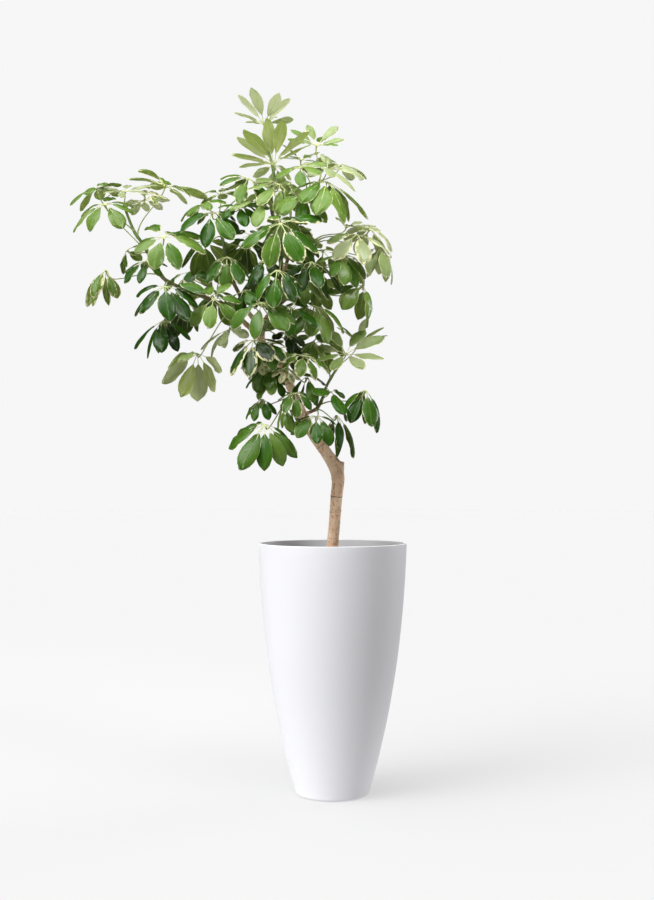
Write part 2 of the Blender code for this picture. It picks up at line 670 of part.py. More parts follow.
def plan_leaflets(leaf, route, tree, rng):
    """Bends each leaflet of a leaf clear of what is already there."""
    hub = Vector(leaf[:3]) * CM
    length, count, droop = leaf[3] * CM, leaf[4], leaf[5]
    normal = facing(leaf[6], leaf[7])
    arch = ARCH if droop > 0 else YOUNG_ARCH
    blade_width = BLADE_WIDTH if droop > 0 else YOUNG_BLADE_WIDTH
    from_stem = (hub - route[-1]).normalized()
    flat = from_stem - normal * from_stem.dot(normal)
    reference = flat.normalized() if flat.length > UPRIGHT_STALK else normal.orthogonal().normalized()
    sideways = normal.cross(reference)
    spread = 360 * (1 - SPREAD_CLOSING * max(0, flat.length - SIDE_STALK))
    draws = []
    for _ in range(count):
        draws.append((rng.uniform(-TURN_DRAW, TURN_DRAW), rng.uniform(-DROOP_DRAW, DROOP_DRAW),
                      rng.uniform(*LENGTH_DRAW)))
    blades = []
    for index, (turn_draw, droop_draw, length_draw) in enumerate(draws):
        share = (index + 0.5) / count - 0.5
        own_length = length * length_draw * (LONGEST - SHORTER_INSIDE * (2 * share) ** 2)
        for more_droop, more_turn, size in BENDS:
            turn = math.radians(share * spread + turn_draw + more_turn)
            outward = math.cos(turn) * reference + math.sin(turn) * sideways
            across = normal.cross(outward)
            bend = droop + droop_draw + more_droop
            room = 2 * HUB_RADIUS + 2 * BELLY_SHARE * own_length * math.cos(math.radians(bend))
            between = math.tan(math.radians(BLADE_FILL * spread / count / 2))
            width = min(blade_width * own_length, room * between)
            stations = leaflet_stations(hub, normal, outward, own_length * size, width * size, bend, arch)
            root = (hub + outward * HUB_RADIUS, normal, PETIOLULE_HALF_WIDTH)
            blade_space = leaflet_space(stations, across)
            if (is_clear(tree, leaflet_space([root, *stations], across))
                    and all(is_clear(blade["tree"], blade_space) for blade in blades)):
                blades.append(dict(turn=turn, outward=outward, stations=stations,
                                   tree=tree_of([blade_space])))
                break
    blades.sort(key=lambda blade: blade["turn"])
    return hub, normal, blades


def make_shoots(material):
    rng = random.Random(SEED)
    taken = {}
    for name, shoot in SHOOTS.items():
        route = stem_route(shoot)
        radii = tapered(shoot["radii"][0] * MM, shoot["radii"][1] * MM, len(route))
        taken["stem", name] = tube(route, radii, STEM_SIDES)
    for number, piece in enumerate(make_trunk_pieces()):
        taken["wood", number] = piece
    stalks = plan_stalks(taken)
    for name, shoot in SHOOTS.items():
        pieces = [taken["stem", name]]
        for number, leaf in enumerate(shoot["leaves"]):
            tree = tree_without(taken, [("hub", name, number)])
            hub, normal, blades = plan_leaflets(leaf, stalks[name, number], tree, rng)
            if len(blades) < FEWEST_LEAFLETS:
                continue
            piece = leaf_piece(hub, normal, blades, stalks[name, number])
            pieces.append(piece)
            taken["leaf", name, number] = piece
        fused_object("leafy_shoot_" + name, pieces, material)


def main():
    remove_scene_objects()
    make_planter(finish("matt_white", (0.86, 0.86, 0.85), 0.6))
    make_soil(finish("potting_soil", (0.07, 0.045, 0.03), 0.95))
    fused_object("trunk", make_trunk_pieces(), finish("bark", (0.42, 0.29, 0.18), 0.8))
    make_shoots(finish("foliage", (0.09, 0.21, 0.05), 0.45))


main()
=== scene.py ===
# Variegated dwarf umbrella tree in a tall tapered planter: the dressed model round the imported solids.
# Metres, +Z up, the planter's front towards -Y.
import math
import random

import bmesh
import bpy
import numpy as np
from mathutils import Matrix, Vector, noise
from mathutils.bvhtree import BVHTree


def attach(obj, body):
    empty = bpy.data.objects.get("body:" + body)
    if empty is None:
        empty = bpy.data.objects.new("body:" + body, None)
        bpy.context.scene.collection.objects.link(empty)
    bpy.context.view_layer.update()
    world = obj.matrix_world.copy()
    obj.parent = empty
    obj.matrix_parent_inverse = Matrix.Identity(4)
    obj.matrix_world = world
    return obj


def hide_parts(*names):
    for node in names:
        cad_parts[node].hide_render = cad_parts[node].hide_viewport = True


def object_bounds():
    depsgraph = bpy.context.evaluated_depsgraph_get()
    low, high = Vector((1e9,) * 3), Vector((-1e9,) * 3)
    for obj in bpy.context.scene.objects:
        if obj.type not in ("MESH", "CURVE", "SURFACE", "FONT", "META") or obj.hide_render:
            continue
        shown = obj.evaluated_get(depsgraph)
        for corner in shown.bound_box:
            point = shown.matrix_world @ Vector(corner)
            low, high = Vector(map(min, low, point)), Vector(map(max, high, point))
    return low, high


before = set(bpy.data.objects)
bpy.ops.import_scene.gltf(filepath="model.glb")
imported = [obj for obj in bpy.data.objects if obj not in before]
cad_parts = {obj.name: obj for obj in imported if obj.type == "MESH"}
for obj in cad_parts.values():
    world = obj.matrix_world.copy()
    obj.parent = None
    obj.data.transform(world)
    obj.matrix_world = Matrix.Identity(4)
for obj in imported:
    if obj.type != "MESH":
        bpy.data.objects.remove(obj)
cadLow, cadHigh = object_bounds()
cm = 0.01
mm = 0.001


# Small helpers

def deselectAll():
    if bpy.context.object and bpy.context.object.mode != "OBJECT":
        bpy.ops.object.mode_set(mode="OBJECT")
    bpy.ops.object.select_all(action="DESELECT")


def pick(obj):
    deselectAll()
    obj.select_set(True)
    bpy.context.view_layer.objects.active = obj


def applyModifiers(obj):
    pick(obj)
    for modifier in list(obj.modifiers):
        bpy.ops.object.modifier_apply(modifier=modifier.name)


def joinAll(objects, name):
    deselectAll()
    for obj in objects:
        obj.select_set(True)
    bpy.context.view_layer.objects.active = objects[0]
    bpy.ops.object.join()
    joined = bpy.context.object
    joined.name = name
    joined.data.name = name
    return joined


def ownCopy(master):
    copy = master.copy()
    copy.data = master.data.copy()
    bpy.context.scene.collection.objects.link(copy)
    return copy


def meshPoints(mesh):
    points = np.empty(len(mesh.vertices) * 3, np.float32)
    mesh.vertices.foreach_get("co", points)
    return points.reshape(-1, 3).astype(float)


def setPoints(mesh, points):
    mesh.vertices.foreach_set("co", np.asarray(points, np.float32).ravel())
    mesh.update()


def setAttribute(mesh, name, values):
    attribute = mesh.attributes.get(name) or mesh.attributes.new(name, "FLOAT", "POINT")
    each = np.broadcast_to(np.asarray(values, np.float32), len(mesh.vertices))
    attribute.data.foreach_set("value", each.copy())


def mount(piece, slot, *nodes):
    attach(piece, "root")
    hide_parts(*nodes)
    print("made", piece.name, len(piece.data.polygons), "faces")


def evenly(start, end, count):
    return [start + (end - start) * index / (count - 1) for index in range(count)]


# Material helpers

def startMaterial(name, shown):
    material = bpy.data.materials.new(name)
    material.use_nodes = True
    material.diffuse_color = (*shown, 1)
    return material, material.node_tree, material.node_tree.nodes["Principled BSDF"]


def addNode(tree, kind, sockets=(), **settings):
    made = tree.nodes.new(kind)
    for setting, value in settings.items():
        setattr(made, setting, value)
    for key, value in dict(sockets).items():
        if isinstance(value, bpy.types.NodeSocket):
            tree.links.new(value, made.inputs[key])
        else:
            made.inputs[key].default_value = value
    return made


def maths(tree, operation, first, second=0.5):
    return addNode(tree, "ShaderNodeMath", {0: first, 1: second}, operation=operation).outputs[0]


def times(tree, first, second):
    return maths(tree, "MULTIPLY", first, second)


def mixColours(tree, share, first, second):
    return addNode(tree, "ShaderNodeMix", {0: share, 6: first, 7: second}, data_type="RGBA").outputs[2]


def paintOver(tree, under, mask, share, colour):
    return mixColours(tree, times(tree, mask, share), under, (*colour, 1))


def ramp(tree, share, stops):
    made = addNode(tree, "ShaderNodeValToRGB", {0: share})
    elements = made.color_ramp.elements
    while len(elements) < len(stops):
        elements.new(0.5)
    for element, (place, colour) in zip(elements, stops):
        element.position = place
        element.color = (*colour, 1)
    return made.outputs[0]


def spread(tree, value, low, high, newLow=0.0, newHigh=1.0):
    return addNode(tree, "ShaderNodeMapRange", {0: value, 1: low, 2: high, 3: newLow, 4: newHigh},
                   interpolation_type="SMOOTHSTEP").outputs[0]


def readAttribute(tree, name):
    return addNode(tree, "ShaderNodeAttribute", attribute_name=name).outputs["Fac"]


def grain(tree, place, scale, detail=2.0, roughness=0.5, stretch=None):
    if stretch:
        place = addNode(tree, "ShaderNodeMapping", {0: place, 3: stretch}).outputs[0]
    return addNode(tree, "ShaderNodeTexNoise", {"Vector": place, "Scale": scale, "Detail": detail,
                                                "Roughness": roughness}).outputs[0]


def objectPlace(tree):
    return addNode(tree, "ShaderNodeTexCoord").outputs["Object"]


def bump(tree, height, strength, distance, under=None):
    sockets = {"Strength": strength, "Distance": distance, "Height": height}
    if under:
        sockets["Normal"] = under
    return addNode(tree, "ShaderNodeBump", sockets).outputs[0]


def wire(tree, shader, colour, roughness, normal, shine=None):
    for socket, value in (("Base Color", colour), ("Roughness", roughness), ("Normal", normal)):
        tree.links.new(value, shader.inputs[socket])
    if shine is not None:
        shader.inputs["Specular IOR Level"].default_value = shine


def forCamera(tree, others, shown):
    # One strength where the camera looks straight at a thing, another for the light it throws
    seen = addNode(tree, "ShaderNodeLightPath").outputs["Is Camera Ray"]
    return addNode(tree, "ShaderNodeMix", {0: seen, 2: others, 3: shown}).outputs[0]


# Camera and light

view = {
    "place": (0, -3.1, 0.775), "focalPixels": 1240, "pictureHeight": 900, "pictureWidth": 654,
    "level": 480.8,     # picture row of the camera's own height
    "axis": 332.5,      # picture column of the planter's axis
    "film": 36,
}
light = {
    "around": 0.06, "shown": 0.928,     # the studio round the plant, and the wall that the camera sees
    "lamp": 5.5, "lampWay": (-0.26, -0.18, 0.95), "lampEdges": (0.76, 0.985),
    "suns": {       # strength, width, degrees from the camera's side (negative to the left) and height
        "softKey": (2.5, 36, -57, 36), "softRim": (1.1, 20, 124, 15),
    },
    "boxes": {      # place, point aimed at, side, spread in degrees and watts of the soft boxes on the crown
        "crownSoftBox": ((0.8, -0.85, 2.45), (0, 0, 1.5), 0.8, 44, 2.8),
        "topSoftBox": ((-0.3, -1.3, 0.95), (-0.15, 0, 1.66), 0.5, 36, 0.5),
    },
}
floorLook = {
    "radius": 30, "sides": 96, "tone": 0.2, "mottle": 0.995, "roughness": 0.9, "glow": 0.56,
    "bounce": (0.64, 0.19), "bounceEdges": (0.25, 0.9),     # thrown back up, by the distance from the axis
}


def makeCamera():
    bpy.ops.object.camera_add(location=view["place"])
    camera = bpy.context.object
    camera.name = "studioCamera"
    camera.data.sensor_fit = "VERTICAL"
    camera.data.sensor_height = view["film"]
    camera.data.lens = view["focalPixels"] * view["film"] / view["pictureHeight"]
    up = math.atan((view["level"] - view["pictureHeight"] / 2) / view["focalPixels"])
    turn = math.atan((view["axis"] - view["pictureWidth"] / 2) / view["focalPixels"])
    camera.rotation_euler = (math.pi / 2 + up, 0, turn)
    bpy.context.scene.camera = camera


def makeWorld():
    world = bpy.data.worlds.new("softStudio")
    bpy.context.scene.world = world
    world.use_nodes = True
    tree = world.node_tree
    direction = addNode(tree, "ShaderNodeTexCoord").outputs["Generated"]
    lampWay = Vector(light["lampWay"]).normalized()
    toLamp = addNode(tree, "ShaderNodeVectorMath", {0: direction, 1: lampWay}, operation="DOT_PRODUCT")
    glow = spread(tree, toLamp.outputs["Value"], *light["lampEdges"], light["around"], light["lamp"])
    tree.links.new(forCamera(tree, glow, light["shown"]), tree.nodes["Background"].inputs["Strength"])
    tree.nodes["Background"].inputs["Color"].default_value = (1, 1, 1, 1)


def makeLamps():
    for name, (watts, width, side, height) in light["suns"].items():
        side, height = math.radians(side), math.radians(height)
        level = math.cos(height)
        away = Vector((math.sin(side) * level, -math.cos(side) * level, math.sin(height)))
        bpy.ops.object.light_add(type="SUN", rotation=away.to_track_quat("Z", "Y").to_euler())
        sun = bpy.context.object
        sun.name = name
        sun.data.energy = watts
        sun.data.angle = math.radians(width)
    for name, (place, aim, side, opening, watts) in light["boxes"].items():
        turn = (Vector(place) - Vector(aim)).to_track_quat("Z", "Y").to_euler()
        bpy.ops.object.light_add(type="AREA", location=place, rotation=turn)
        softBox = bpy.context.object
        softBox.name = name
        softBox.data.energy = watts
        softBox.data.size = side
        softBox.data.spread = math.radians(opening)


def makeFloor():
    look = floorLook
    deselectAll()
    bpy.ops.mesh.primitive_circle_add(vertices=look["sides"], radius=look["radius"], fill_type="NGON")
    floor = bpy.context.object
    floor.name = "studioFloor"
    material, tree, shader = startMaterial("palePaper", (0.9, 0.9, 0.9))
    place = objectPlace(tree)
    tones = (look["tone"],) * 3, (look["tone"] * look["mottle"],) * 3
    colour = ramp(tree, grain(tree, place, 0.8, 1), list(zip((0.3, 0.7), tones)))
    tree.links.new(colour, shader.inputs["Base Color"])
    shader.inputs["Roughness"].default_value = look["roughness"]
    shader.inputs["Specular IOR Level"].default_value = 0
    shader.inputs["Emission Color"].default_value = (1, 1, 1, 1)
    # the light thrown back up is strongest round the foot of the planter
    away = addNode(tree, "ShaderNodeVectorMath", {0: place}, operation="LENGTH").outputs["Value"]
    bounce = spread(tree, away, *look["bounceEdges"], *look["bounce"])
    tree.links.new(forCamera(tree, bounce, look["glow"]), shader.inputs["Emission Strength"])
    floor.data.materials.append(material)


makeCamera()
makeWorld()
makeLamps()
makeFloor()
bpy.context.scene.view_settings.view_transform = "Standard"
print("camera, light and floor are set")


# Planter

planter = {
    "rim": 0.185, "height": 0.62, "wall": 7 * mm, "floor": 12 * mm, "foot": 0.084, "footRounding": 8 * mm,
    "lipRounding": 1.5 * mm,
    "taper": (0.0214, 0.0575, 0.0158),      # drawn in with the depth under the rim, its square and its cube
    "sides": 128, "rows": 30, "roundSteps": 5,
    "footRings": (0.25, 0.8, 1), "floorRings": (0.7, 0.25),     # shares of the foot's radius
    "colour": (0.765, 0.765, 0.80), "dulled": 0.985, "speck": (0.62, 0.61, 0.6), "roughness": (0.5, 0.61),
    "smoothUnder": 40,      # degrees
}


def planterRadius(height):
    belowRim = 1 - height / planter["height"]
    drawnIn = sum(share * belowRim ** power for power, share in enumerate(planter["taper"], 1))
    return planter["rim"] - drawnIn


def raiseRings(name, outline, sides):
    # A disc at the first radius, then one extrusion for each further ring of the outline
    deselectAll()
    radius, height = outline[0]
    bpy.ops.mesh.primitive_circle_add(vertices=sides, radius=radius, fill_type="NGON", location=(0, 0, height))
    piece = bpy.context.object
    piece.name = name
    bpy.ops.object.transform_apply(location=True)
    bpy.ops.object.mode_set(mode="EDIT")
    bpy.ops.mesh.select_all(action="SELECT")
    for nextRadius, nextHeight in outline[1:]:
        bpy.ops.mesh.extrude_region_move(TRANSFORM_OT_translate={"value": (0, 0, nextHeight - height)})
        scale = nextRadius / radius
        bpy.ops.transform.resize(value=(scale, scale, 1), center_override=(0, 0, nextHeight))
        radius, height = nextRadius, nextHeight
    bpy.ops.mesh.select_all(action="SELECT")
    bpy.ops.mesh.normals_make_consistent(inside=False)
    bpy.ops.object.mode_set(mode="OBJECT")
    return piece


def roundedCorner(fromRadius, toRadius, fromHeight, toHeight, outwardFirst, steps):
    # Points of a quarter ellipse between two corners
    points = []
    for step in range(1, steps + 1):
        turn = math.pi / 2 * step / steps
        first, second = math.sin(turn), 1 - math.cos(turn)
        across, along = (first, second) if outwardFirst else (second, first)
        points.append((fromRadius + (toRadius - fromRadius) * across,
                       fromHeight + (toHeight - fromHeight) * along))
    return points


def planterMaterial():
    base = planter["colour"]
    material, tree, shader = startMaterial("mattWhite", base)
    place = objectPlace(tree)
    cloud = grain(tree, place, 5, 3, 0.55)
    dust = grain(tree, place, 900, 3, 0.6)
    orangePeel = grain(tree, place, 260, 2, 0.5)
    colour = ramp(tree, cloud, [(0.3, tuple(channel * planter["dulled"] for channel in base)), (0.7, base)])
    colour = paintOver(tree, colour, spread(tree, dust, 0.66, 0.74), 0.1, planter["speck"])
    fine = bump(tree, dust, 0.05, 0.2 * mm)
    wire(tree, shader, colour, spread(tree, cloud, 0.3, 0.7, *planter["roughness"]),
         bump(tree, orangePeel, 0.06, 0.5 * mm, fine))
    return material


def makePlanter():
    p = planter
    top, lip, foot, steps = p["height"], p["lipRounding"], p["foot"], p["roundSteps"]
    inner = p["rim"] - p["wall"]
    outline = [(foot * share, 0) for share in p["footRings"]]
    outline += roundedCorner(foot, planterRadius(p["footRounding"]), 0, p["footRounding"], True, steps)
    outline += [(planterRadius(height), height)
                for height in evenly(p["footRounding"], top - lip, p["rows"] + 1)[1:]]
    outline += roundedCorner(p["rim"], p["rim"] - lip, top - lip, top, False, steps)
    outline += [(inner + lip, top)]
    outline += roundedCorner(inner + lip, inner, top, top - lip, True, steps)
    outline += [(planterRadius(height) - p["wall"], height)
                for height in evenly(top - lip, p["floor"], p["rows"] + 1)[1:]]
    outline += [(foot * share, p["floor"]) for share in p["floorRings"]]
    shell = raiseRings("tallPlanter", outline, p["sides"])
    pick(shell)
    bpy.ops.object.shade_smooth_by_angle(angle=math.radians(p["smoothUnder"]))
    shell.data.materials.append(planterMaterial())
    mount(shell, "planter", "planter")


# Potting soil

soil = {
    "top": 0.575, "mound": 9 * mm, "waves": 4 * mm, "swirls": ((3, 40), (2, -55)), "calm": 0.04,
    "hole": 18 * mm, "gap": 0.3 * mm, "rootDepth": 0.115, "sides": 96, "rows": 26, "wallRows": 8,
    "holeRing": 0.3, "floorRings": (0.5, 0.12),     # shares of the hole's and of the foot's radius
    "lumps": 2.2 * mm, "lumpScale": 90, "lumpEdge": 8 * mm,
    "crumbs": 620, "crumbSize": (1.6 * mm, 5.5 * mm), "leastCrumb": 0.8 * mm, "seed": 3,
    "crumbShape": ((0.6, 1.2), (0.6, 1.2), (0.35, 0.8)),       # shares of its size
    "crumbJitter": 0.09, "crumbLift": 0.12,
    "crumbRoom": (4 * mm, 10 * mm),     # kept free round the trunk, and of it and the wall together
    "dark": (0.018, 0.011, 0.007), "pale": (0.085, 0.052, 0.032), "dry": (0.17, 0.11, 0.07),
    "fibre": (0.2, 0.14, 0.085), "smoothUnder": 50,
}


def soilMaterial():
    material, tree, shader = startMaterial("pottingSoil", soil["pale"])
    place = objectPlace(tree)
    lumps = grain(tree, place, 120, 6, 0.65)
    fibres = grain(tree, place, 260, 3, 0.6, (1, 3.5, 1))
    colour = ramp(tree, lumps, [(0.32, soil["dark"]), (0.62, soil["pale"]), (0.8, soil["dry"])])
    colour = paintOver(tree, colour, spread(tree, fibres, 0.64, 0.72), 0.6, soil["fibre"])
    wire(tree, shader, colour, spread(tree, fibres, 0.3, 0.7, 0.8, 1.0), bump(tree, lumps, 0.8, 2 * mm), 0.2)
    return material


def soilEdge(height):
    return planterRadius(height) - planter["wall"] - soil["gap"]


def soilHeight(x, y):
    s = soil
    radius, edge = math.hypot(x, y), soilEdge(s["top"])
    turn = math.atan2(y, x)
    calm = min(1, max(0, (radius - s["hole"]) / s["calm"]))
    waves = math.prod(math.sin(count * turn + swirl * radius) for count, swirl in s["swirls"])
    rise = s["mound"] * (1 - radius / edge) ** 2 if radius < edge else 0
    fade = min(1, max(0, (edge - radius) / s["lumpEdge"]))
    lump = noise.fractal(Vector((x, y, 0)) * s["lumpScale"], 0.6, 2.1, 4) * s["lumps"] * calm * fade
    return s["top"] + rise + s["waves"] * calm * fade * waves + lump


def makeCrumb(crumb, number):
    # A lumpy copy of the crumb, laid on the soil at a drawn place
    s = soil
    room, bothRooms = s["crumbRoom"]
    distance = s["hole"] + room + (soilEdge(s["top"]) - s["hole"] - bothRooms) * math.sqrt(random.random())
    turn = random.uniform(0, 2 * math.pi)
    size = random.uniform(*s["crumbSize"]) * random.random() ** 0.6 + s["leastCrumb"]
    copy = ownCopy(crumb)
    corners = meshPoints(copy.data)
    corners *= size * np.array([random.uniform(*sizes) for sizes in s["crumbShape"]])
    corners += np.random.default_rng(number).normal(0, s["crumbJitter"] * size, corners.shape)
    x, y = distance * math.cos(turn), distance * math.sin(turn)
    corners += np.array([x, y, soilHeight(x, y) + s["crumbLift"] * size])
    setPoints(copy.data, corners)
    return copy


def makeSoil():
    s = soil
    random.seed(s["seed"])
    hole, top = s["hole"], s["top"]
    bottom = top - s["rootDepth"] - s["gap"]
    floorTop = planter["floor"] + s["gap"]
    outline = [(hole * s["holeRing"], bottom), (hole, bottom), (hole, top)]
    outline += [(radius, top) for radius in evenly(hole, soilEdge(top), s["rows"] + 1)[1:]]
    outline += [(soilEdge(height), height) for height in evenly(top, floorTop, s["wallRows"] + 1)[1:]]
    outline += [(planter["foot"] * share, floorTop) for share in s["floorRings"]]
    bed = raiseRings("pottingSoil", outline, s["sides"])
    points = meshPoints(bed.data)
    for point in points:
        if abs(point[2] - top) < 0.1 * mm:
            point[2] = soilHeight(point[0], point[1])
    setPoints(bed.data, points)
    bed.data.materials.append(soilMaterial())
    deselectAll()
    bpy.ops.mesh.primitive_ico_sphere_add(subdivisions=1, radius=1)
    crumb = bpy.context.object
    crumb.data.materials.append(bed.data.materials[0])
    crumbs = [makeCrumb(crumb, number) for number in range(1, s["crumbs"] + 1)]
    bpy.data.objects.remove(crumb)
    bed = joinAll([bed, *crumbs], "pottingSoil")
    bpy.ops.object.shade_smooth_by_angle(angle=math.radians(s["smoothUnder"]))
    mount(bed, "soil", "potting_soil")


makePlanter()
makeSoil()
print("planter and soil are made")


# Where the wood and the leaves are, in cm: the same places as the solids

trunkRoute = (      # centre line with its radius in mm
    (0, 0, 57.5, 17.5), (0, 0, 61, 15), (0.5, 0, 67, 14.3), (1, 0, 73.5, 14.8), (1.4, 0, 78, 16),
    (0.7, 0, 81, 17), (-1.2, 0, 84, 14.6), (-5.4, 0, 90, 13.2), (-8.6, 0, 96.5, 12.2), (-10.5, 0, 101, 11.5),
    (-13, 1, 106, 11), (-16.8, 1, 110.5, 10.5), (-18, 1, 113.8, 10), (-17.2, 1, 117, 9),
    (-15, 1, 120.5, 8), (-13.6, 1, 125.5, 7), (-13.2, 1, 131, 6),
)
sawnStub = ((1.2, 0, 77.5, 15), (1.6, -0.2, 82.3, 14))
rootEnd = (0, 0, 46, 14.9)
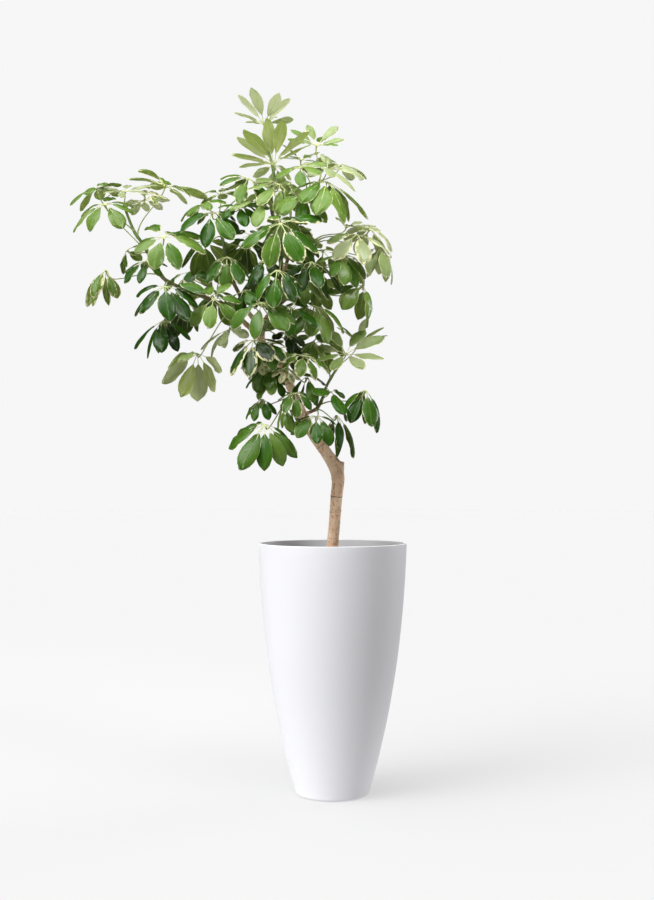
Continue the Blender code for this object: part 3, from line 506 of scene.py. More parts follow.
# A shoot has its woody limb, the radius of its green stem at foot and tip in mm, the tone of its leaves from
# its oldest at the stem's foot to its youngest at the tip (0 dark green, 1 pale yellow green), the width of
# its cream margins and the stem's route. The tones are partly the leaves' own age and partly painted light:
# painted shade darkens the shoots inside and behind the crown, and painted light pales the top and right
# shoots.
# A leaf is its hub's place, its leaflets' length and number, their droop, the side it faces and how far it
# leans that way in degrees, and where its stalk leaves the stem.
shoots = {
    "left": {
        "limb": ((-17.8, 1, 113.2), (-23, 0, 118)), "radii": (5.5, 3), "tones": (0.26, 1.04), "cream": 0.25,
        "stem": ((-27.5, -1, 121.5), (-34, -4, 124), (-40.5, -6, 126.5), (-43, -6, 129.5), (-46.5, -5, 135.5),
                 (-49, -4, 139), (-51, -3, 143.5), (-52, -3, 146.5)),
        "leaves": (
            (-59, -2, 150.6, 8, 6, 20, 200, 16, 0.49), (-55.5, -9, 145, 10, 6, 28, 250, 30, 0.72),
            (-51.5, -4, 149.4, 8, 7, -4, 270, 30, 0.97), (-48, 4, 149, 6, 6, 8, 120, 20, 0.93),
            (-42, 0, 151.5, 11, 6, 7, 0, 18, 0.67), (-41, -10.5, 136.6, 11, 7, 20, 270, 38, 0.44),
            (-55.5, -7, 129, 9.8, 5, 64, 200, 5, 0.36), (-52, 2.5, 135.8, 6, 3, 35, 185, 40, 0.52),
            (-40, -14, 124, 10.8, 6, 31, 265, 22, 0.28), (-41.3, -8, 116.5, 10.3, 6, 50, 240, 14, 0.16),
            (-37.5, 5, 122.5, 8.5, 6, 42, 90, 25, 0.1),
        ),
    },
    "centre_left": {
        "limb": ((-17.4, 1, 115.5), (-22, 3, 121)), "radii": (5, 3), "tones": (0.2, 0.5), "cream": 0.22,
        "stem": ((-23.5, 4, 124.5), (-26.5, 4, 131), (-27.5, 3, 137), (-28.5, 2, 142), (-28.5, 1, 145)),
        "leaves": (
            (-29.6, -7, 143.3, 9.8, 6, 36, 265, 30, 0.8), (-23.3, -4, 145.8, 7.5, 6, 25, 260, 30, 0.95),
            (-28.5, 2, 150, 7, 6, 8, 180, 15, 0.97), (-33, 7, 139, 9.5, 6, 35, 130, 35, 0.6),
            (-26, -6, 132.5, 9.5, 6, 48, 275, 20, 0.3), (-22.5, 7, 138.5, 8.5, 6, 35, 60, 30, 0.5),
            (-21, -3, 152.7, 9.6, 6, 26, 305, 32, 0.9),
        ),
    },
    "low_left": {
        "limb": ((-22.8, 0, 117.8),), "radii": (4.5, 3.4), "tones": (0.96, 0.28), "cream": 0.16,
        "stem": ((-23.6, -2.4, 118.7), (-25, -6, 119.5), (-26.5, -9.5, 119.2)),
        "leaves": (
            (-28.5, -14, 121, 8.5, 6, 15, 270, 55, 0.92), (-32.8, -9, 108.3, 11.5, 7, 47, 95, 42, 0.5),
        ),
    },
    # The top shoot's tip tone, above 1, is partly painted light shining through its leaves.
    "top": {
        "limb": ((-13.2, 1, 130),), "radii": (6, 2.8), "tones": (0.6, 1.1), "cream": 0.16,
        "stem": ((-13, 1, 132.6), (-14, 2, 139.5), (-15.5, 3, 147), (-15.5, 3, 152), (-15, 3, 156),
                 (-16.2, 1, 161), (-16.9, -1.9, 164.2)),
        "leaves": (
            (-17.1, -2, 166.8, 9.2, 8, -34, 85, 22, 0.98), (-14.6, -3.5, 156.3, 12, 8, -25, 150, 20, 0.62),
            (-15, 7, 158.5, 6.5, 6, 35, 60, 20, 0.7), (-10.5, 5, 153, 7.5, 6, 28, 20, 25, 0.5),
            (-13.2, -6.5, 150.5, 8.5, 6, 30, 285, 35, 0.4),
        ),
    },
    "middle": {
        "limb": ((-13.2, 1, 129),), "radii": (4.4, 2.8), "tones": (0.48, 0.86), "cream": 0.2,
        "stem": ((-11.6, 0.2, 132), (-9.5, -1, 138.5), (-8.5, -2, 143.5), (-8, -2, 147.5), (-5, -3, 150.8),
                 (-2.2, -3.4, 152.3)),
        "leaves": (
            (-8, 3, 159, 6, 6, -20, 290, 20, 0.75), (-4, 1, 162.2, 7.8, 7, -10, 285, 38, 0.9),
            (-1.2, -5, 154.6, 8.8, 7, 5, 300, 34, 0.97), (-8, -9, 154, 7, 6, 18, 250, 25, 0.7),
            (-1.4, -9, 150.4, 12.8, 6, 36, 320, 12, 0.58), (-7, -11, 147, 9, 6, 42, 285, 25, 0.35),
            (2, 3, 157.5, 8, 6, 12, 330, 28, 0.84),
        ),
    },
    "front": {
        "limb": ((-13.4, 1, 126.6),), "radii": (4.2, 3), "tones": (0.14, 0.4), "cream": 0.16,
        "stem": ((-13, -1.2, 128), (-12.5, -7, 132), (-11.5, -12, 135.5)),
        "leaves": (
            (-12.3, -17.5, 138.4, 11.6, 7, 28, 262, 42, 0.95), (-13, -19, 127, 9.5, 6, 42, 265, 22, 0.6),
            (-5, -10, 130.5, 10, 6, 46, 320, 18, 0.35),
        ),
    },
    # The right shoot's pale tip tone is partly painted light.
    "right": {
        "limb": ((-15.2, 1, 120.2),), "radii": (5, 3), "tones": (0.48, 0.97), "cream": 0.22,
        "stem": ((-13.2, 1.4, 122), (-10, 2, 125.5), (-7, 1, 131), (-4.5, 0, 135.5), (-4, 0, 138.5)),
        "leaves": (
            (3.5, 1, 141.5, 7, 6, -12, 0, 15, 0.96), (6, -6, 138, 10.5, 6, 32, 315, 30, 0.85),
            (9.5, 3, 141.3, 9.6, 6, 34, 10, 25, 0.9), (11.5, -3, 135.5, 9.5, 6, 50, 340, 20, 0.7),
            (2, -7, 132.5, 8.5, 6, 38, 280, 25, 0.5), (5.5, 3.5, 134, 8, 6, 40, 20, 25, 0.45),
            (7.3, -3, 125.8, 10.8, 5, 50, 350, 36, 0.14), (-5, 8, 128.5, 8, 6, 28, 90, 30, 0.3),
            (-4.5, -6, 120.5, 10, 6, 42, 300, 20, 0.07),
        ),
    },
    "centre": {
        "limb": ((-18, 1, 113.8),), "radii": (4.2, 3), "tones": (0.12, 0.36), "cream": 0.3,
        "stem": ((-17.6, -1.4, 113.9), (-16.5, -8, 115), (-15, -13, 117)),
        "leaves": (
            (-16.5, -18, 119.5, 9.5, 6, 35, 265, 35, 0.94), (-10, -10, 119.5, 9, 6, 35, 310, 30, 0.65),
            (-18.8, -13, 111.2, 10.5, 6, 33, 240, 26, 0.35),
        ),
    },
    "centre_low": {
        "limb": ((-12, 0.5, 104),), "radii": (4, 3), "tones": (0.34, 0.5), "cream": 0.34,
        "stem": ((-11.9, -1.5, 104.6), (-11.5, -4, 105.5), (-11, -7.5, 107)),
        "leaves": (
            (-7, -11, 107.8, 7.5, 6, 30, 300, 25, 0.75), (-15.5, -9, 104.8, 7, 6, 30, 240, 25, 0.5),
            (-14.5, -12.5, 110.5, 8.5, 6, 30, 260, 30, 0.9),
        ),
    },
    "low_right": {
        "limb": ((-7.3, 0, 94.2),), "radii": (4.4, 2.9), "tones": (0.34, 1.0), "cream": 0.3,
        "stem": ((-5.2, -1.2, 94.8), (-3.8, -2, 95.6), (-2.5, -2, 98), (-1.5, -2, 101), (0.5, -2, 104.5),
                 (2.5, -2, 107.5)),
        "leaves": (
            (3.3, -4.4, 108.9, 10.2, 7, -8, 275, 50, 0.96), (6.5, 4, 112.6, 8.5, 5, -35, 20, 15, 0.84),
            (8, -8, 99.4, 10.8, 6, 55, 320, 18, 0.25), (-4.5, -4, 111.5, 5.8, 5, 42, 240, 18, 0.7),
            (1, 3, 93.8, 11.8, 5, 70, 0, 8, 0.14), (-4, -12, 93, 8, 6, 35, 280, 25, 0.12),
        ),
    },
    "low_front": {
        "limb": ((-8.3, 0, 96.2),), "radii": (4.2, 3.2), "tones": (0.44, 0.54), "cream": 0.14,
        "stem": ((-8.2, -2, 96.6), (-9.5, -5, 98), (-11, -8, 99)),
        "leaves": (
            (-16, -14.5, 90.8, 12.2, 8, 38, 264, 40, 0.6), (-9, -13.5, 98.5, 6, 6, 35, 275, 30, 0.92),
            (-14.5, -9.5, 102.5, 6.5, 6, 30, 220, 20, 0.85),
        ),
    },
    # This shoot and back_middle, back_left and back_right have low tones that are painted shade inside the
    # crown.
    "back_low": {
        "limb": ((-12, 0.6, 103.8),), "radii": (4.4, 3), "tones": (0.0, 0.3), "cream": 0.2,
        "stem": ((-12, 2.6, 105), (-11, 9, 109), (-9.5, 15, 113)),
        "leaves": (
            (-14, 21, 113, 10, 5, 40, 110, 25, 0.8), (-4, 18, 116, 10, 5, 32, 60, 30, 0.9),
            (-10, 20, 121, 9.5, 6, 15, 90, 20, 0.97), (-18, 13, 110, 9.5, 5, 40, 150, 25, 0.4),
        ),
    },
    "back_middle": {
        "limb": ((-13.5, 1, 126),), "radii": (4.2, 3), "tones": (0.0, 0.3), "cream": 0.2,
        "stem": ((-13.7, 3, 127.6), (-14.5, 9, 132), (-16.5, 15, 138)),
        "leaves": (
            (-22, 19, 143, 10, 5, 30, 130, 25, 0.9), (-13, 20, 144.5, 9.5, 6, 20, 80, 25, 0.97),
            (-19, 23, 133, 10, 5, 42, 110, 25, 0.6), (-7.5, 19, 135, 10, 5, 35, 60, 25, 0.5),
        ),
    },
    "back_high": {
        "limb": ((-13.1, 1, 130.5),), "radii": (4, 2.9), "tones": (0.28, 0.7), "cream": 0.2,
        "stem": ((-13.2, 3, 132.5), (-12, 7, 139), (-11, 11, 145), (-11, 13, 149.5)),
        "leaves": (
            (-15.5, 16, 154, 8.5, 5, 15, 110, 20, 0.95), (-9.5, 17, 152.5, 7.5, 6, 15, 80, 22, 0.85),
            (-10, 16, 143, 8.5, 5, 34, 100, 30, 0.5),
        ),
    },
    "back_left": {
        "limb": ((-20.8, 2.4, 119.5),), "radii": (4, 3), "tones": (0.1, 0.4), "cream": 0.18,
        "stem": ((-22.6, 4.6, 120.6), (-27, 10, 124), (-32, 14, 128)),
        "leaves": (
            (-38, 16, 132.5, 10, 6, 30, 160, 28, 0.95), (-31, 20, 127.5, 10, 5, 42, 120, 25, 0.7),
            (-28.5, 13, 135, 9, 5, 25, 120, 20, 0.8),
        ),
    },
    "back_right": {
        "limb": ((-13.8, 1, 124.6),), "radii": (4.2, 3), "tones": (0.05, 0.45), "cream": 0.2,
        "stem": ((-12.4, 3, 125.2), (-8, 8, 127), (-3, 12, 130.5)),
        "leaves": (
            (-2.5, 16, 138, 9.5, 6, 30, 80, 25, 0.95), (-6, 19, 133, 9, 5, 36, 100, 28, 0.8),
            (-8.5, 18, 124.5, 9.5, 5, 38, 100, 30, 0.5),
        ),
    },
}
# Smaller leaves between the others, which only the dressed model has; a tenth number is the share of cream
innerLeaves = {
    "top": ((-17.5, -5, 146.6, 9, 6, 28, 235, 28, 0.2),),
    "low_front": ((-17, -10, 97.2, 6, 5, 45, 240, 25, 0.55), (-11.3, -12.5, 95.4, 7, 5, 45, 280, 25, 0.8)),
    "centre_low": (
        (-6.3, -9, 102.5, 7.5, 5, 60, 300, 15, 0.5), (-17.8, -10, 106.2, 4.5, 6, 20, 250, 30, 0.8, 0.7),
        (-11, -12.5, 104.2, 4.2, 5, 30, 280, 30, 0.9, 0.8),
    ),
    "low_right": ((-0.6, -6.5, 99.4, 9.5, 5, 12, 330, 34, 0.35),),
    "low_left": ((-25.8, -6, 114.5, 8.5, 6, 25, 210, 25, 0.4),),
    "front": ((-16.5, -9, 131.5, 8, 6, 30, 230, 30, 0.5), (-8.5, -6, 136.5, 7.5, 6, 30, 320, 30, 0.75)),
    "centre": (
        (-21.5, -8, 124, 8.5, 6, 35, 220, 25, 0.6), (-21, -13.5, 118.4, 4.5, 6, 25, 240, 30, 0.8, 0.75),
        (-11.5, -6, 113.5, 7.5, 6, 35, 300, 25, 0.4),
    ),
    "centre_left": ((-20, -4, 128.5, 8, 6, 35, 300, 30, 0.15), (-32, -3, 146.5, 7, 6, 20, 220, 25, 0.9)),
    "middle": ((-12, -4.5, 142.5, 7.5, 6, 30, 250, 30, 0.3),),
    "right": ((-8, -3.5, 127, 7.5, 6, 35, 290, 25, 0.3),),
    "left": ((-45.5, -9, 131, 7, 6, 30, 250, 30, 0.4), (-46, -7.5, 148, 6, 6, 10, 300, 30, 0.95, 0.5)),
}


# The plan of wood, stalks and leaflets

woodPlan = {
    "sides": 8, "stemSides": 5, "woodyEnd": 8 * mm, "gap": 0.3 * mm, "thickening": 0.8 * mm,
    "overlap": 3 * mm,      # of a green stem into the end of its limb
}
leafPlan = {
    "petiolule": 0.2, "belly": 0.68,        # shares of a leaflet before its blade and up to its widest place
    "width": 0.41, "youngWidth": 0.3,       # of a blade, as shares of its leaflet's length
    "fill": 1.15, "keel": 1.9 * mm,         # of the room between its neighbours, and how deep it is folded
    "arch": 44, "youngArch": 24,            # degrees that a leaflet bends from its foot to its tip
    "more": 1, "stagger": 5,                # leaflets added to each leaf, and degrees up and down in turn
    "longest": 1.04, "shorterInside": 0.34,                     # leaflets towards the stem are shorter
    "closing": 0.55, "sideStalk": 0.5, "uprightStalk": 0.15,    # a leaf on a slanting stalk opens less round
    "turnDraw": 5, "droopDraw": 8, "youngDroopDraw": 17, "lengthDraw": (0.93, 1.04), "archDraw": (-14, 22),
    "hubRadius": 4.2 * mm, "hubDepth": 3 * mm, "stalkRadius": 1.7 * mm, "stalkSunk": 2 * mm,
    "stalkRise": (0.3, 0.35),               # pull of a stalk's ends, as shares of its reach
    "stalkInside": 0.72,                    # where its last piece is taken to enter the stem
    "stalkSteps": 3, "fineSteps": 10,       # of its line where it is planned and where it is made
    "stations": (0, 0.2, 0.34, 0.56, 0.79, 0.96, 1), "bladeStations": (0.34, 0.56, 0.79, 0.96, 1),
    "clearance": 1.2 * mm, "ownClearance": 0.2 * mm, "seed": 7,
}
# Blade outline: share of its length from base to tip, and share of its half width
bladeOutline = (
    (0, 0.06), (0.07, 0.29), (0.17, 0.55), (0.3, 0.8), (0.45, 0.96), (0.59, 1.0), (0.73, 0.92), (0.86, 0.67),
    (0.95, 0.3), (1, 0),
)
# Ways to bend a leaflet clear (more droop, more turn, size) and a stalk (bow sideways, upwards)
bends = (
    (0, 0, 1), (8, 0, 1), (-8, 0, 1), (0, 7, 1), (0, -7, 1), (16, 0, 1), (-16, 0, 1), (10, 8, 1),
    (10, -8, 1), (-10, 8, 1), (-10, -8, 1), (24, 0, 1), (0, 0, 0.86), (-24, 0, 1), (20, 9, 0.94),
    (20, -9, 0.94), (-20, 9, 0.94), (-20, -9, 0.94), (34, 0, 0.94), (-34, 0, 0.94), (12, 0, 0.78),
    (-12, 0, 0.78), (0, 10, 0.7), (0, -10, 0.7), (30, 10, 0.76), (-30, -10, 0.76), (0, 0, 0.6),
)
bows = (
    (0, 0), (0.12, 0), (-0.12, 0), (0, 0.12), (0.24, 0), (-0.24, 0), (0.15, 0.15), (-0.15, 0.15),
    (0.15, -0.15), (-0.15, -0.15), (0.36, 0), (-0.36, 0), (0, 0.3), (0.3, 0.2), (-0.3, 0.2), (0, -0.25),
)


def inMetres(rows):
    return [Vector(row[:3]) * cm for row in rows]


def smoothRoute(points, steps):
    ends = [2 * points[0] - points[1], *points, 2 * points[-1] - points[-2]]
    route = []
    for before, start, end, after in zip(ends, ends[1:], ends[2:], ends[3:]):
        for step in range(steps):
            t = step / steps
            turn = 2 * before - 5 * start + 4 * end - after
            twist = 3 * start - before - 3 * end + after
            route.append(0.5 * (2 * start + (end - before) * t + turn * t ** 2 + twist * t ** 3))
    route.append(points[-1])
    return route


def directions(route):
    spans = [(end - start).normalized() for start, end in zip(route, route[1:])]
    return [spans[0], *[(before + after).normalized() for before, after in zip(spans, spans[1:])], spans[-1]]


def tubeSpace(route, radii, sides):
    # Corners and faces of a plain closed tube, to test what touches what
    across = directions(route)[0].orthogonal().normalized()
    corners = []
    for point, along, radius in zip(route, directions(route), radii):
        across = (across - along * across.dot(along)).normalized()
        other = along.cross(across)
        for side in range(sides):
            turn = 2 * math.pi * side / sides
            corners.append(point + radius * (math.cos(turn) * across + math.sin(turn) * other))
    faces = []
    for ring in range(len(route) - 1):
        for side in range(sides):
            a = ring * sides + side
            b = ring * sides + (side + 1) % sides
            faces += [(a, b, b + sides), (a, b + sides, a + sides)]
    last = (len(route) - 1) * sides
    for side in range(1, sides - 1):
        faces += [(0, side + 1, side), (last, last + side, last + side + 1)]
    return corners, faces


def boxOf(corners):
    return [min(c[i] for c in corners) for i in range(3)], [max(c[i] for c in corners) for i in range(3)]


class Space:
    # A closed shape with its box and search tree
    def __init__(self, piece):
        corners, faces = piece
        self.low, self.high = boxOf(corners)
        self.tree = BVHTree.FromPolygons(corners, faces, all_triangles=True)

    def touches(self, other):
        if any(self.low[i] > other.high[i] or other.low[i] > self.high[i] for i in range(3)):
            return False
        return bool(self.tree.overlap(other.tree))


def isClear(space, taken, without):
    return not any(space.touches(other) for owner, other in taken.items() if owner not in without)


def insideCad(space):
    return all(space.low[i] > cadLow[i] and space.high[i] < cadHigh[i] for i in range(3))


def stemRoute(shoot, steps=2):
    return smoothRoute(inMetres(shoot["stem"]), steps)


def woodyLimb(shoot):
    # Centre line and radii of the short woody limb that ends at the foot of a green stem
    green = stemRoute(shoot)
    away = (green[1] - green[0]).normalized()
    ends = [green[0] - away * woodPlan[back] for back in ("woodyEnd", "gap")]
    route = inMetres(shoot["limb"]) + ends
    thin = shoot["radii"][0] * mm
    thick = thin + len(shoot["limb"]) * woodPlan["thickening"]
    return route, evenly(thick, thin, len(route) - 1) + [thin]


def woodLines():
    trunk = [rootEnd, *trunkRoute]
    lines = [(inMetres(trunk), [row[3] * mm for row in trunk])]
    lines.append((inMetres(sawnStub), [row[3] * mm for row in sawnStub]))
    return lines + [woodyLimb(shoot) for shoot in shoots.values()]


def facing(side, lean):
    tilt, turn = math.radians(lean), math.radians(side)
    return Vector((math.sin(tilt) * math.cos(turn), math.sin(tilt) * math.sin(turn), math.cos(tilt)))


def stalkRoute(hub, normal, stem, at, bow, steps):
    p = leafPlan
    place = at * (len(stem) - 1)
    index = min(int(place), len(stem) - 2)
    foot = stem[index].lerp(stem[index + 1], place - index)
    along = (stem[index + 1] - stem[index]).normalized()
    start = hub - normal * (p["hubDepth"] + p["stalkSunk"])
    reach = (start - foot).length
    chord = (start - foot).normalized()
    up = Vector((0, 0, 1))
    shift = reach * (bow[0] * chord.cross(up).normalized() + bow[1] * up)
    first = start - normal * p["stalkRise"][0] * reach + shift
    second = foot + (along + chord).normalized() * p["stalkRise"][1] * reach + shift
    route = []
    for t in evenly(0, 1, steps + 1):
        route.append(start * (1 - t) ** 3 + 3 * first * t * (1 - t) ** 2 + 3 * second * t ** 2 * (1 - t)
                     + foot * t ** 3)
    return route


def stalkSpace(route):
    outside = route[:-1] + [route[-2].lerp(route[-1], leafPlan["stalkInside"])]
    return Space(tubeSpace(outside, [leafPlan["stalkRadius"] + leafPlan["clearance"]] * len(outside), 4))


def hubSpace(hub, normal):
    p = leafPlan
    ends = [hub + normal * p["clearance"], hub - normal * (p["hubDepth"] + p["clearance"])]
    return Space(tubeSpace(ends, [p["hubRadius"] + p["clearance"]] * 2, 5))


def leafletArc(leaflet, share):
    # A leaflet bends evenly from hub to tip, so its line is an arc: the way out, the way down, the slope
    bend0 = math.radians(leaflet["bend"] - leaflet["arch"] / 2)
    arch = math.radians(leaflet["arch"])
    bend = bend0 + arch * share
    out = leafPlan["hubRadius"] + leaflet["length"] * (np.sin(bend) - math.sin(bend0)) / arch
    down = leaflet["length"] * (math.cos(bend0) - np.cos(bend)) / arch
    return out, down, bend


def bladeSpace(leaflet, shares, margin):
    # A closed box round a leaflet between the given shares of its length
    p = leafPlan
    corners = []
    for share in shares:
        out, down, bend = (float(value) for value in leafletArc(leaflet, share))
        point = leaflet["hub"] + out * leaflet["outward"] - down * leaflet["normal"]
        upward = math.sin(bend) * leaflet["outward"] + math.cos(bend) * leaflet["normal"]
        blade = (share - p["petiolule"]) / (1 - p["petiolule"])
        reach = float(np.interp(blade, *zip(*bladeOutline))) * leaflet["width"] / 2 + margin
        under = -p["keel"] - margin
        for side, height in ((1, margin), (-1, margin), (-1, under), (1, under)):
            corners.append(point + side * reach * leaflet["across"] + height * upward)
    last = 4 * (len(shares) - 1)
    faces = [(0, 1, 2), (0, 2, 3), (last, last + 2, last + 1), (last, last + 3, last + 2)]
    for start in range(0, last, 4):
        for side in range(4):
            a, b = start + side, start + (side + 1) % 4
            faces += [(a, a + 4, b + 4), (a, b + 4, b)]
    return Space((corners, faces))


def planLeaflets(leaf, taken, draw):
    p = leafPlan
    row, hub, normal = leaf["row"], leaf["hub"], leaf["normal"]
    length, count, droop = row[3] * cm, row[4] + p["more"], row[5]
    young = droop <= 0
    fromStem = (hub - leaf["line"][-1]).normalized()
    flat = fromStem - normal * fromStem.dot(normal)
    reference = flat.normalized() if flat.length > p["uprightStalk"] else normal.orthogonal().normalized()
    sideways = normal.cross(reference)
    turnRound = 360 * (1 - p["closing"] * max(0, flat.length - p["sideStalk"]))
    between = math.tan(math.radians(p["fill"] * turnRound / count / 2))
    droopDraw = p["youngDroopDraw" if young else "droopDraw"]
    draws = []
    for _ in range(count):
        draws.append((draw.uniform(-p["turnDraw"], p["turnDraw"]), draw.uniform(-droopDraw, droopDraw),
                      draw.uniform(*p["lengthDraw"]), draw.uniform(*p["archDraw"])))
    leaflets = []
    for index, (turnDraw, ownDroop, lengthDraw, archDraw) in enumerate(draws):
        share = (index + 0.5) / count - 0.5
        ownLength = length * lengthDraw * (p["longest"] - p["shorterInside"] * (2 * share) ** 2)
        for moreDroop, moreTurn, size in bends:
            turn = math.radians(share * turnRound + turnDraw + moreTurn)
            outward = math.cos(turn) * reference + math.sin(turn) * sideways
            bend = droop + ownDroop + moreDroop + p["stagger"] * (1 if index % 2 else -1)
            room = 2 * p["hubRadius"] + 2 * p["belly"] * ownLength * math.cos(math.radians(bend))
            width = min(p["youngWidth" if young else "width"] * ownLength, room * between)
            leaflet = {
                "hub": hub, "normal": normal, "outward": outward, "across": normal.cross(outward),
                "length": ownLength * size, "width": width * size, "bend": bend,
                "arch": p["youngArch"] if young else p["arch"] + archDraw,
            }
            space = bladeSpace(leaflet, p["stations"], p["clearance"])
            if insideCad(space) and isClear(space, taken, [("hub", leaf["number"])]):
                own = bladeSpace(leaflet, p["bladeStations"], p["ownClearance"])
                if not any(own.touches(other["own"]) for other in leaflets):
                    leaflet["own"] = own
                    leaflets.append(leaflet)
                    break
    return leaflets


def planStalk(name, number, row, stem, taken):
    # A stalk takes the first bow that keeps it clear; an inner leaf without one is left out
    hub, normal, steps = Vector(row[:3]) * cm, facing(row[6], row[7]), leafPlan["stalkSteps"]
    for bow in bows:
        space = stalkSpace(stalkRoute(hub, normal, stem, row[8], bow, steps))
        if isClear(space, taken, [("stem", name)]):
            break
    else:
        if row in innerLeaves.get(name, ()):
            print("no room for an inner leaf at", row[:3])
            return None
        bow = bows[0]
        space = stalkSpace(stalkRoute(hub, normal, stem, row[8], bow, steps))
    taken["stalk", number] = space
    taken["hub", number] = hubSpace(hub, normal)
    return {"shoot": name, "number": number, "row": row, "hub": hub, "normal": normal, "at": row[8],
            "line": stalkRoute(hub, normal, stem, row[8], bow, leafPlan["fineSteps"])}


def planCrown():
    # Stalks first, then leaflets, each bent clear of everything that is already there
    draw = random.Random(leafPlan["seed"])
    taken = {}
    for name, shoot in shoots.items():
        route = stemRoute(shoot)
        radii = evenly(shoot["radii"][0] * mm, shoot["radii"][1] * mm, len(route))
        taken["stem", name] = Space(tubeSpace(route, radii, woodPlan["stemSides"]))
    for number, (route, radii) in enumerate(woodLines()):
        taken["wood", number] = Space(tubeSpace(route, radii, woodPlan["sides"]))
    leaves = []
    for rows in ({name: shoot["leaves"] for name, shoot in shoots.items()}, innerLeaves):
        added = []
        for name, leafRows in rows.items():
            stem = stemRoute(shoots[name])
            for row in leafRows:
                leaf = planStalk(name, len(leaves) + len(added), row, stem, taken)
                if leaf:
                    added.append(leaf)
        for leaf in added:
            leaf["leaflets"] = planLeaflets(leaf, taken, draw)
            for index, leaflet in enumerate(leaf["leaflets"]):
                taken["leaflet", leaf["number"], index] = bladeSpace(leaflet, leafPlan["stations"], 0)
        leaves += added
    return leaves


crown = planCrown()
print("crown planned:", len(crown), "leaves,", sum(len(leaf["leaflets"]) for leaf in crown), "leaflets")


# Trunk

bark = {
    "voxel": 1.6 * mm, "steps": 8, "rounding": 6, "soften": (0.5, 3),       # strength and rounds
    "lumps": (11 * mm, 1.4 * mm, 2), "grain": (3.2 * mm, 0.7 * mm, 1),      # size, strength and depth
    "scars": (      # cm along from the root end, strength
        (17.2, 0.5), (23.7, 0.45), (27.5, 1.5), (41.5, 0.7), (46.8, 0.5), (50.2, 0.8), (55.5, 0.6), (59, 0.9),
        (64.5, 0.7), (69, 0.9), (73.5, 0.7), (78, 0.8), (83, 0.6),
    ),
    "scarDepth": 0.7 * mm, "scarWidth": 1.1 * mm, "deepest": 1.2,
    "ridge": 0.5 * mm, "ridgeOff": 2.6 * mm, "ridgeWidth": 2.2 * mm,
    "wobble": 1.6 * mm, "wobbleScale": 55, "steady": 0.35,      # share of the wobble at a deep scar
    "breaks": (30, -0.15), "faint": 0.35,       # noise that breaks a ring, and what it leaves there
    "sawnRim": (1.2 * mm, 0.93),        # how far down and out from its middle the stub's sawn face goes
    "girth": 1.25,      # skin further out than this share of the trunk's radius is a limb's
    "knots": (      # x, y, z and reach in cm, rise in mm
        (1.4, -0.6, 81.6, 1.7, 1.6), (-0.9, -0.9, 82.6, 1.5, 1.2), (-1.7, -0.4, 86.6, 0.8, 1.5),
        (0.2, -1.2, 79.2, 1.6, 0.8), (-5.2, -1.0, 90.6, 1.0, 1.2),
    ),
    "youngFrom": 1.0, "youngOver": 0.28, "youngShare": 0.35,    # the green of young bark, by height
    "tan": (0.80, 0.49, 0.29), "pale": (1.0, 0.78, 0.57), "brown": (0.36, 0.155, 0.065),
    "dark": (0.075, 0.043, 0.022), "young": (0.26, 0.17, 0.07),
    "sawnDark": (0.30, 0.2, 0.12), "sawnPale": (0.52, 0.39, 0.26),
}


def bevelledLines(name, lines, resolution):
    # One curve object with a round bevel along each line, made a mesh
    curve = bpy.data.curves.new(name, "CURVE")
    curve.dimensions = "3D"
    curve.bevel_depth = 1
    curve.bevel_resolution = resolution
    curve.use_fill_caps = True
    for route, radii in lines:
        spline = curve.splines.new("POLY")
        spline.points.add(len(route) - 1)
        for point, place, radius in zip(spline.points, route, radii):
            point.co = (*place, 1)
            point.radius = radius
    piece = bpy.data.objects.new(name, curve)
    bpy.context.scene.collection.objects.link(piece)
    pick(piece)
    bpy.ops.object.convert(target="MESH")
    return bpy.context.object


def cloudDisplace(piece, name, size, strength, depth):
    texture = bpy.data.textures.new(name, "CLOUDS")
    texture.noise_scale = size
    texture.noise_depth = depth
    modifier = piece.modifiers.new(name, "DISPLACE")
    modifier.texture = texture
    modifier.texture_coords = "LOCAL"
    modifier.strength = strength
    modifier.mid_level = 0.5


def barkMaterial():
    material, tree, shader = startMaterial("bark", bark["tan"])
    place = objectPlace(tree)
    patches = grain(tree, place, 28, 4, 0.6)
    streaks = grain(tree, place, 150, 3, 0.6, (1, 1, 0.22))
    flecks = grain(tree, place, 210, 2, 0.5, (1, 1, 0.55))
    pores = addNode(tree, "ShaderNodeTexVoronoi", {"Vector": place, "Scale": 230.0}).outputs["Distance"]
    colour = ramp(tree, patches, [(0.3, bark["tan"]), (0.68, bark["pale"])])
    for mask, share, shade in (
            (spread(tree, streaks, 0.45, 0.72), 0.32, "brown"),
            (spread(tree, flecks, 0.6, 0.68), 0.75, "brown"),
            (spread(tree, pores, 0.2, 0.07), 0.8, "dark"),
            (readAttribute(tree, "young"), 0.85, "young"),
            (readAttribute(tree, "scar"), 0.9, "dark")):
        colour = paintOver(tree, colour, mask, share, bark[shade])
    sawn = ramp(tree, grain(tree, place, 420, 2, 0.5), [(0.35, bark["sawnDark"]), (0.7, bark["sawnPale"])])
    colour = mixColours(tree, readAttribute(tree, "cut"), colour, sawn)
    fine = bump(tree, flecks, 0.3, 0.8 * mm, bump(tree, streaks, 0.45, 0.9 * mm))
    wire(tree, shader, colour, spread(tree, patches, 0.3, 0.7, 0.72, 0.92),
         bump(tree, maths(tree, "MINIMUM", pores, 0.2), 0.3, 1.2 * mm, fine), 0.25)
    return material


